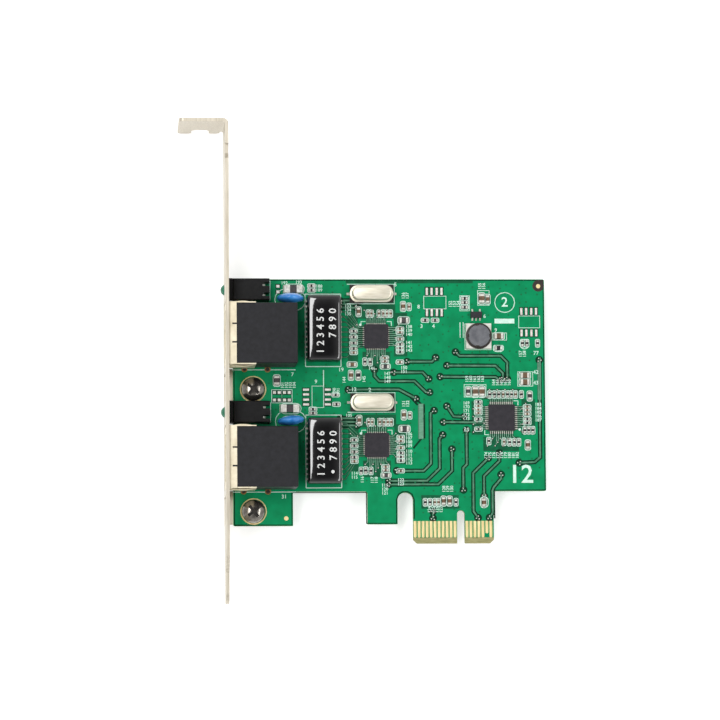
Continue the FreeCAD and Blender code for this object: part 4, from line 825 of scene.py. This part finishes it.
# White ink: part outlines, plain number marks and a few filled shapes.
ink = {
    "width": 0.24,
    "outlineWidth": 0.2112,
    "outlineGap": (0.95, 0.55),  # along and across a chip, both sides together
    "fieldGap": (0.75, 0.4),
    "rise": 0.03,
    "numberSize": 1.35,
    "lines": [
        [(-57, 43.6), (-41.2, 43.6)], [(-57, 13), (-41.2, 13)],
        [(-47.5, 66), (-47.5, 61), (-55, 61)], [(-47.5, 35.4), (-47.5, 30.5), (-55, 30.5)],
        [(-34.2, 34.1), (-34.2, 43.5)],
        *[[(x, y + 18.2), (x, y)] for x in (-38.7, -29.8) for y in (44.4, 14)],
        *[[(-38.7, y), (-29.8, y)] for y in (62.6, 44.4, 32.2, 14)],
        [(-28.2, 32.9), (-16.3, 32.9), (-16.3, 37.8), (-28.2, 37.8)],
        [(-28.2, 60.2), (-16.3, 60.2), (-16.3, 65.1), (-28.2, 65.1)],
        [(0.2, 51.6), (0.2, 55.5)], [(1, 51.6), (1, 55.5)],
        [(-24.7, 54.6), (-24.7, 55.7), (-23.6, 55.7)],
        [(-18.2, 55.7), (-17.1, 55.7), (-17.1, 54.6)],
        [(-24.7, 27.3), (-24.7, 28.4), (-23.6, 28.4)],
        [(-18.2, 28.4), (-17.1, 28.4), (-17.1, 27.3)],
        [(6.2, 28.3), (6.2, 27.2), (7.3, 27.2)], [(13.5, 35.7), (14.6, 35.7), (14.6, 34.6)],
    ],
    "boxes": [
        (-47.2, 35.3, -44.65, 38.6), (-44.65, 35.3, -42.1, 38.6),
        (-37.1, 34.1, -34.2, 39.5), (-8.9, 58.9, -3.3, 62.1), (15, 54.1, 20.3, 57.1),
        (1.4, 48.6, 8, 55.1), (0.2, 58.4, 2.6, 62.2), (4.7, 59.8, 7.6, 63.5),
        (8.3, 51, 11.9, 52.8), (14.6, 39.4, 18.4, 43), (1.1, 36.7, 6.6, 39.8),
    ],
    "ovals": [
        (-42.45, 30.6, 7.7, 5.4), (-42.45, 61.2, 7.7, 5.4), (-42.5, 33.85, 5.3, 2.6),
        (-41.5, 63.85, 5.2, 2.6), (9.8, 48.9, 2.4, 1.6), (16.4, 50, 2.4, 2.4),
        (5.9, 10.3, 2, 2.8), (11.5, 60.5, 5, 5),
    ],
    "numbers": [
        ("7", -42, 42.4, 0), ("31", -44.2, 11.8, 0),
        ("19", -29.8, 43.6, 0), ("2", -22.6, 38.5, 0), ("5", -16, 65, 0),
        ("3", -9.5, 54.5, 0), ("4", -6.5, 54.5, 0), ("8", -10.2, 59.4, 0),
        ("6", 6.4, 57, 0), ("9", 9.2, 53.5, 0), ("77", 19.3, 47.7, 0),
        ("42", 19.2, 42.9, 0), ("43", 19.2, 40.2, 0), ("28", 1.6, 28.5, 0),
        ("9", -36.1, 40.6, 0), ("12", -26.6, 38.6, 0),
    ],
    "stacks": [
        (-43, 39.7, 4, 90), (-27.9, 32.1, 1, 0), (-12.9, 25.9, 4, 0),
        (-12.9, 21.6, 4, 0), (-26.6, 17.1, 2, 0),
        (-24.6, 16, 1, 90), (-21.6, 15.9, 2, 90), (-19, 13.6, 3, 0), (-15, 15.4, 2, 0),
        (-6.4, 8.5, 4, 90), (-3.2, 13.6, 3, 90), (-13.6, 35, 2, 90), (-28, 58.6, 3, 0),
        (-13.5, 62.2, 2, 90), (-12.7, 53.4, 3, 0), (-12.7, 49.4, 3, 0), (-29, 41, 1, 90),
        (-24, 41.2, 1, 90), (-22.1, 43.9, 1, 0), (-18.2, 41.6, 3, 0), (-14, 43.6, 2, 0),
        (-1.2, 60.1, 3, 90), (5.8, 64.6, 2, 90), (15.9, 47.5, 2, 90), (3.8, 41.2, 5, 90),
        (10.5, 40.3, 5, 90), (1.6, 33.2, 5, 0), (10.4, 22, 9, 90), (19.7, 32.8, 5, 0),
        (-35.2, 64.1, 2, 0), (-31, 38.2, 2, 90), (-43.9, 65.4, 1, 0), (-40.3, 65.6, 1, 0),
    ],
    "stackStep": 0.98,
    "stackSize": 1.12,
    "firstStack": 101,
    "badges": [("12", 15.2, 17.1, 0, 6.4), ("2", 11.5, 60.5, 0, 3.4)],
    "dots": [(-24.9, 54.9), (-24.9, 27.6), (15, 28.5), (-24.2, 62.6), (4.9, 35.4)],
    "dot": [(0.32, 0), (0.32, 0.03)],
    "fills": [(11.4, 55.8, 5, 1.2)],
}


def chipBoxes():
    boxes = []
    for kind in ("capacitor", "resistor", "bead"):
        ends = [span(island) for island in solidsOf(kind + "_terminals")]
        for island in solidsOf(kind + "_bodies"):
            low, high = span(island)
            for endLow, endHigh in ends:
                if all(endLow[axis] < high[axis] + 0.05 and endHigh[axis] > low[axis] - 0.05
                       for axis in range(3)):
                    low = Vector(map(min, low, endLow))
                    high = Vector(map(max, high, endHigh))
            boxes.append((low, high))
    return boxes


def grownChips(along, across):
    spots = []
    for low, high in chipBoxes():
        size, centre = high - low, (low + high) / 2
        grow = (along, across) if size.x >= size.y else (across, along)
        spots.append((centre.x, centre.y, size.x + grow[0], size.y + grow[1]))
    return spots


def stackNumbers():
    marks = []
    number = ink["firstStack"]
    for x, y, count, turn in ink["stacks"]:
        for step in range(count):
            shift = (step - (count - 1) / 2) * ink["stackStep"]
            spot = (x + shift, y) if turn else (x, y - shift)
            marks.append((str(number), *spot, turn))
            number += 1
    return marks


def drawInk():
    middle = card["top"] + ink["rise"] / 2
    drawPads("chipFields", grownChips(*ink["fieldGap"]), 0.012, "traceEdgeAndShade")
    drawLines("inkLines", ink["lines"], ink["width"], ink["rise"], "silk")
    rings = [boxOutline(*corners) for corners in ink["boxes"]]
    rings += [roundedBox(*oval, min(oval[2:]) * 0.49) for oval in ink["ovals"]]
    rings += [roundedBox(*chip, min(chip[2:]) * 0.3)
              for chip in grownChips(*ink["outlineGap"])]
    drawLines("inkOutlines", rings, ink["outlineWidth"], ink["rise"], "silk", closed=True)
    finishPiece(drawNumbers("inkNumbers", ink["numbers"], middle, ink["numberSize"]), "silk")
    finishPiece(drawNumbers("inkStacks", stackNumbers(), middle, ink["stackSize"]), "silk")
    for index, (words, x, y, turn, size) in enumerate(ink["badges"]):
        badge = drawNumbers(f"inkBadge{index}", [(words, x, y, turn)], middle, size)
        finishPiece(badge, "silk")
    scatter("inkDots", ink["dot"], 12, ink["dots"], "silk")
    drawPads("inkFills", ink["fills"], 0.015, "silk")


def drawBareCopper():
    gap = pads["gap"]
    # Painted shadow: a dark rim a little larger than each empty pad lies under it.
    shadowRims = [(x, y, length + gap, width + gap) for x, y, length, width in pads["empty"]]
    drawPads("padShadowRims", shadowRims, pads["shadowRimRise"], "traceEdgeAndShade")
    drawPads("emptyPads", pads["empty"], pads["rise"], "tin")
    scatter("copperRings", pads["ring"], 20, pads["rings"], "oldCopper", 30)
    scatter("copperRingHoles", pads["ringHole"], 16, pads["rings"], "darkMaskAndShade")
    scatter("sightMarks", pads["sight"], 20, pads["sights"], "gold")
    scatter("sightPatch", pads["patch"], 28, [(20.0, 64.7)], "darkMaskAndShade")
    drawPads("sightCorner", [(20.65, 65.35, 1.4, 1.8)], 0.015, "darkMaskAndShade")
    scatter("screwSeats", pads["seat"], 40, pads["seats"], "gold")


drawInk()
drawBareCopper()
print("stage: ink and bare copper drawn")

# Solder at both ends of every chip, and under the pins that pass through the board.
solder = {
    "reach": 0.26,
    "overlap": 0.02,
    "padMargin": 0.06,
    "share": (0.96, 0.72),  # of the terminal's width and height
    "bevel": (0.92, 0.22),  # its size, and how hollow the fillet is
    "feetBelow": -1.9,
    "feetApart": 0.9,
    "joint": [(0.95, 0.02), (0.95, -0.04), (0.62, -0.2), (0.42, -0.5), (0.34, -0.85),
              (0.2, -0.98)],
}


def filletMaster():
    piece = cube("filletMaster", 0.5)
    half = 0.45 * mm
    pick(piece, "EDGE", lambda edge: all(piece.data.vertices[v].co.x > half
                                         and piece.data.vertices[v].co.z > half
                                         for v in edge.vertices))
    size, hollow = solder["bevel"]
    bpy.ops.mesh.bevel(offset=size * mm, segments=3, profile=hollow, clamp_overlap=False)
    setMode("OBJECT")
    return piece


def drawFillets():
    reach, margin = solder["reach"], solder["padMargin"]
    bodies = [(low + high) / 2 for low, high in chipBoxes()]
    bodies += [middleOf(island) for island in solidsOf("surge_chip_bodies")]
    fillets, bases = [], []
    for kind in ("capacitor", "resistor", "bead", "surge_chip"):
        for island in solidsOf(kind + "_terminals"):
            low, high = span(island)
            centre, size = (low + high) / 2, high - low
            body = min(bodies, key=lambda item: (item - centre).length)
            away = centre - body
            alongX = abs(away.x) > abs(away.y)
            if alongX:
                turn = 0 if away.x > 0 else 180
                length, width = size.xy
            else:
                turn = 90 if away.y > 0 else 270
                width, length = size.xy
            outward = Vector((*around(1, turn), 0))
            middle = centre + outward * (length / 2 + reach / 2 - solder["overlap"])
            fillets.append(at(middle.x, middle.y, 0.01, turn,
                              (reach, width * solder["share"][0],
                               high.z * solder["share"][1])))
            middle = centre + outward * reach / 2
            sides = (length + reach + margin, width + margin * 2)
            bases.append((middle.x, middle.y, *(sides if alongX else sides[::-1])))
    drawPads("chipPads", bases, 0.02, "tin")
    stamp("chipFillets", filletMaster(), fillets, "solder", 50)


def feet(nodeName):
    spots = []
    for vertex in nodes[nodeName].data.vertices:
        point = vertex.co * 1000
        if point.z > solder["feetBelow"]:
            continue
        near = [spot for spot in spots if (spot[0] / spot[2] - point.x) ** 2
                + (spot[1] / spot[2] - point.y) ** 2 < solder["feetApart"] ** 2]
        if near:
            near[0][0] += point.x
            near[0][1] += point.y
            near[0][2] += 1
        else:
            spots.append([point.x, point.y, 1])
    return [(x / count, y / count) for x, y, count in spots]


def drawJoints():
    spots = []
    for row in card["rows"]:
        for node in ("jack_contacts_", "jack_shield_", "lamp_leads_",
                     "disc_capacitor_leads_"):
            spots += feet(node + row)
    scatter("solderJoints", solder["joint"], 14, spots, "solder", 50,
            card["underside"])


drawFillets()
drawJoints()
print("stage: solder placed")

# The underside carries tracks, vias, test pads and numbers, and no parts.
below = {
    "width": 0.42,
    "rise": 0.02,
    "pairs": [((-36, 47.5), (-30, 45.5), (-12, 45.5), (-4, 37.5), (-4, 12)),
              ((-36, 20), (-28, 20), (-22, 26), (-11, 26), (-8, 23),
               (-8, 12)),
              ((3.2, 8), (3.2, 19), (9, 24.8), (9, 26.5)),
              ((10.5, 48), (1, 57.5), (-20, 57.5)),
              ((16, 36), (16, 50), (11, 55), (11, 60)),
              ((-24, 38.5), (-12, 38.5), (-8, 34.5), (-8, 29.5)),
              ((-50, 28), (-44, 28), (-40, 32), (-27, 32)),
              ((-50, 58.6), (-44, 58.6), (-40, 62.6), (-27, 62.6))],
    "pairGap": 0.8,
    "pads": [(-35.5, 42), (-32.5, 42), (-29.5, 42), (-30, 16), (-18.5, 50),
             (-14, 22), (5.5, 44), (8, 44), (13, 20), (16, 20)],
    "pad": [(0.7, 0.01), (0.7, -0.03), (0.62, -0.04)],
    "via": [(0.34, 0.01), (0.34, -0.02), (0.2, -0.03)],
    "numberAbove": 1.8,  # each pad has its number this far up the card
    "numberSize": 1.5,
    "badge": ("34", 14.5, 57, 5),
}


def drawUnderside():
    level = card["underside"]
    gap = below["pairGap"]
    runs = []
    for run in below["pairs"]:
        runs.append(list(run))
        runs.append([(x + gap, y + gap) for x, y in run])
    drawLines("lowerTraceEdges", runs, below["width"] * 2, 0.008, "traceEdgeAndShade", level)
    drawLines("lowerTraces", runs, below["width"], below["rise"], "trace", level)
    scatter("lowerVias", below["via"], 12, endsOf(runs), "tin", level=level)
    scatter("testPads", below["pad"], 20, below["pads"], "tin", level=level)
    marks = [(str(number), -x, y + below["numberAbove"], 0)
             for number, (x, y) in enumerate(below["pads"], 1)]
    words, x, y, size = below["badge"]
    for name, text, height in (("lowerNumbers", marks, below["numberSize"]),
                               ("lowerBadge", [(words, -x, y, 0)], size)):
        numbers = drawNumbers(name, text, 0.01 - level, height)
        numbers.data.transform(Matrix.Rotation(math.pi, 4, "Y"))
        finishPiece(numbers, "silk")


drawUnderside()
print("stage: underside drawn")

# Strips and plates that close the gap between the bracket and the board: x, y, z and size.
infill = {
    "earStrips": (-57.3, 12.35, -1.85, 1.75, 2.0, 0.5),
    "nosePlates": (-57.5, 32.75, 2.6, 1.1, 5.6, 5.0),
}


def makeInfills():
    for name, material, slot in (("earStrips", "bracket", "bracket"),
                                 ("nosePlates", "holder", "lamp_holder")):
        x, y, z, *size = infill[name]
        places = [at(x, y + index * card["blockPitch"], z, 0, size)
                  for index in range(len(card["rows"]))]
        stamp(name, slab(name + "Master"), places, material)


# The inductor's core stands in a dark ring, and its rim has dark notches: painted shade round
# the core and in the notches.
drum = {
    "ring": [(3.28, 0), (3.28, 0.05), (3.2, 0.09), (2.6, 0.09)],
    "notchSize": (0.34, 0.8, 0.7),
    "notchRadius": 2.68,
    "notchDrop": 0.3,
    "notchTurns": (0, 100, 180, 262),
}


def makeDrumShade():
    low, high = boxOf("inductor_base")
    centre = (low + high) / 2
    scatter("drumShade", drum["ring"], 48, [centre.xy], "darkMaskAndShade", 40,
            high.z)
    height = boxOf("inductor_core")[1].z - drum["notchDrop"]
    places = []
    for turn in drum["notchTurns"]:
        outX, outY = around(drum["notchRadius"], turn)
        places.append(at(centre.x + outX, centre.y + outY, height, turn, drum["notchSize"]))
    stamp("drumNotches", slab("drumNotchMaster"), places, "darkMaskAndShade")


# Potted blocks whose tops sag towards their edges, with plain numbers printed on them.
potting = {
    "cuts": 11,
    "bevel": 0.6,
    "sagAcross": 0.34,
    "sagAlong": 0.35,
    "marks": [("7 8 9 0", 2.1, 1.1, 90), ("1 2 3 4 5 6", -0.95, -0.9, 90)],
    "markSize": 2.6,
    "markThick": 0.12,
    "dot": (0.42, 1.9, -5.4),
}


def sagTop(piece, size, above):
    half = size / 2 * mm
    for vertex in piece.data.vertices:
        if vertex.co.z > above * half.z:
            across = abs(vertex.co.x / half.x)
            along = abs(vertex.co.y / half.y)
            sag = (potting["sagAcross"] * across ** 3 + potting["sagAlong"] * along ** 8) * mm
            vertex.co.z -= sag * max(vertex.co.z / half.z, above)


def makeTransformers():
    for row in card["rows"]:
        low, high = boxOf("line_transformer_" + row)
        size, middle = high - low, at(*((low + high) / 2))
        body = cube("potting_" + row)
        body.data.transform(Matrix.Diagonal((*size, 1)))
        setMode("EDIT")
        bpy.ops.mesh.select_all(action="SELECT")
        bpy.ops.mesh.subdivide(number_cuts=potting["cuts"])
        setMode("OBJECT")
        applyModifier(body, "BEVEL", width=potting["bevel"] * mm, segments=5,
                      limit_method="ANGLE", angle_limit=math.radians(40))
        sagTop(body, size, 0)
        body.data.transform(middle)
        finishPiece(body, "transformer", 40)
        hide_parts("line_transformer_" + row)
        top = size.z / 2
        numbers = drawNumbers("transformerNumbers_" + row, potting["marks"], top,
                              potting["markSize"], potting["markThick"])
        if row == "lower":
            radius, x, y = potting["dot"]
            dot = turned("pinDot", [(radius, top - 0.03), (radius, top + 0.03)], 20)
            dot.data.transform(at(x, y))
            numbers = join("transformerNumbers_" + row, [numbers, dot])
        sagTop(numbers, size, 0.5)
        numbers.data.transform(middle)
        finishPiece(numbers, "print")


# Cross-recess screws: a turned profile, two blades cut from its head, the recess in shade.
screws = {
    "x": -51.85,
    "y": 8.15,
    "turns": (38, 52),
    "profile": [(1.3, -3.6), (1.46, -3.4), (1.46, 0.0), (2.9, 0.0), (2.98, 0.12),
                (2.98, 0.75), (2.85, 1.1), (2.55, 1.45), (2.05, 1.78), (1.4, 1.99),
                (0.7, 2.08), (0.01, 2.1)],
    "blade": (3.5, 0.8, 1),
    "bladeHeight": 1.7,
    "recessFloor": 1.2,
    "recessRadius": 1.8,
}


def isRecess(face, spot):
    wall = (spot.z > screws["recessFloor"] - 0.05 and spot.xy.length < screws["recessRadius"]
            and face.normal.z < 0.3)
    return wall or (abs(spot.z - screws["recessFloor"]) < 0.02 and face.normal.z > 0.9)


def makeScrews():
    for index, row in enumerate(card["rows"]):
        screw = turned("screw_" + row, screws["profile"], 40)
        blades = []
        for turn in (0, 90):
            blade = cube("blade", screws["bladeHeight"])
            blade.data.transform(at(0, 0, 0, turn, screws["blade"]))
            blades.append(blade)
        for blade in blades:
            applyModifier(screw, "BOOLEAN", object=blade, operation="DIFFERENCE",
                          solver="EXACT")
            bpy.data.objects.remove(blade)
        y = screws["y"] + index * card["blockPitch"]
        screw.data.transform(at(screws["x"], y, 0, screws["turns"][index]))
        finishPiece(screw, "screw", 35)
        screw.data.materials.append(materials["recess"])
        for face in screw.data.polygons:
            if isRecess(face, face.center / mm - Vector((screws["x"], y, 0))):
                face.material_index = 1
        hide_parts("bracket_screw_" + row)


# Lamps lie on their sides: flange, barrel and dome, turned upright and laid towards -x.
lamps = {
    "axis": 2.6,
    "y": 32.75,
    "profile": [(1.4, 54.65), (1.5, 54.75), (1.5, 56.9), (2.0, 56.9), (2.0, 57.85),
                (1.95, 57.9), (1.5, 57.9)],
    "domeBase": 58.5,
    "domeRadius": 1.5,
}


def makeLamps():
    turnOver = Matrix.Rotation(math.radians(-90), 4, "Y")
    dome = [around(lamps["domeRadius"], angle) for angle in (0, 15, 30, 45, 60, 75, 89)]
    dome = [(radius, lamps["domeBase"] + height) for radius, height in dome]
    for index, row in enumerate(card["rows"]):
        lamp = turned("lampDome_" + row, lamps["profile"] + dome, 32)
        y = lamps["y"] + index * card["blockPitch"]
        lamp.data.transform(at(0, y, lamps["axis"]) @ turnOver)
        finishPiece(lamp, "lamp", 40)
        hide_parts("lamp_" + row)


# Dipped discs: a flat round body and two stems, melted together.
discs = {
    "centre": (-42.6, 30.6, 4.7),
    "turns": (6, 0),
    "body": (3.28, 1.28, 3.28, 1),
    "stem": [(0.5, -3.4), (0.55, -2.6), (0.7, -1.8), (0.9, -0.6)],
    "stems": (-2.5, 2.5),
    "voxel": 0.16,
}


def makeDiscs():
    for index, row in enumerate(card["rows"]):
        x, y, z = discs["centre"]
        startClean()
        bpy.ops.mesh.primitive_uv_sphere_add(segments=40, ring_count=24, radius=mm)
        disc = nameLast("discBody_" + row)
        disc.data.transform(Matrix.Diagonal(discs["body"]))
        parts = [disc]
        for side in discs["stems"]:
            stem = turned("stem", discs["stem"], 16)
            stem.data.transform(at(side, 0))
            parts.append(stem)
        disc = join("discBody_" + row, parts)
        applyModifier(disc, "REMESH", mode="VOXEL", voxel_size=discs["voxel"] * mm)
        applyModifier(disc, "SMOOTH", factor=0.6, iterations=6)
        disc.data.transform(at(x, y + index * card["blockPitch"], z, discs["turns"][index]))
        finishPiece(disc, "disc", 80)
        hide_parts("disc_capacitor_" + row)


# Crystal cans: a stretched cylinder with a rounded top and a rolled flange.
cans = {
    "size": (10.1, 3.5),
    "flangeHeight": 1.25,
    "topBevel": 0.55,
    "flange": ((0.0, 0.02), (0.75, 0.05), (0.05, 0.08), (0.0, 0.3)),
}


def makeCans():
    length, width = cans["size"]
    for row in card["rows"]:
        low, high = boxOf("crystal_can_" + row)
        centre = (low + high) / 2
        startClean()
        bpy.ops.mesh.primitive_cylinder_add(vertices=48, radius=width / 2 * mm,
                                            depth=(high.z - cans["flangeHeight"]) * mm)
        can = nameLast("can_" + row)
        for vertex in can.data.vertices:
            vertex.co.x += math.copysign((length - width) / 2 * mm, vertex.co.x)
        pick(can, "FACE", lambda face: face.normal.z > 0.9)
        bpy.ops.mesh.bevel(offset=cans["topBevel"] * mm, segments=4)
        pick(can, "FACE", lambda face: face.normal.z < -0.9)
        for growth, drop in cans["flange"]:
            bpy.ops.mesh.extrude_region_move(
                TRANSFORM_OT_translate={"value": (0, 0, -drop * mm)})
            bpy.ops.transform.resize(value=((length + growth) / length,
                                            (width + growth) / width, 1),
                                     center_override=(0, 0, 0))
        setMode("OBJECT")
        bottom = min(vertex.co.z for vertex in can.data.vertices) * 1000
        can.data.transform(at(centre.x, centre.y, low.z - bottom))
        finishPiece(can, "can", 35)
        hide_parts("crystal_can_" + row)


makeInfills()
makeDrumShade()
makeTransformers()
makeScrews()
makeLamps()
makeDiscs()
makeCans()
print("stage: round parts ready")
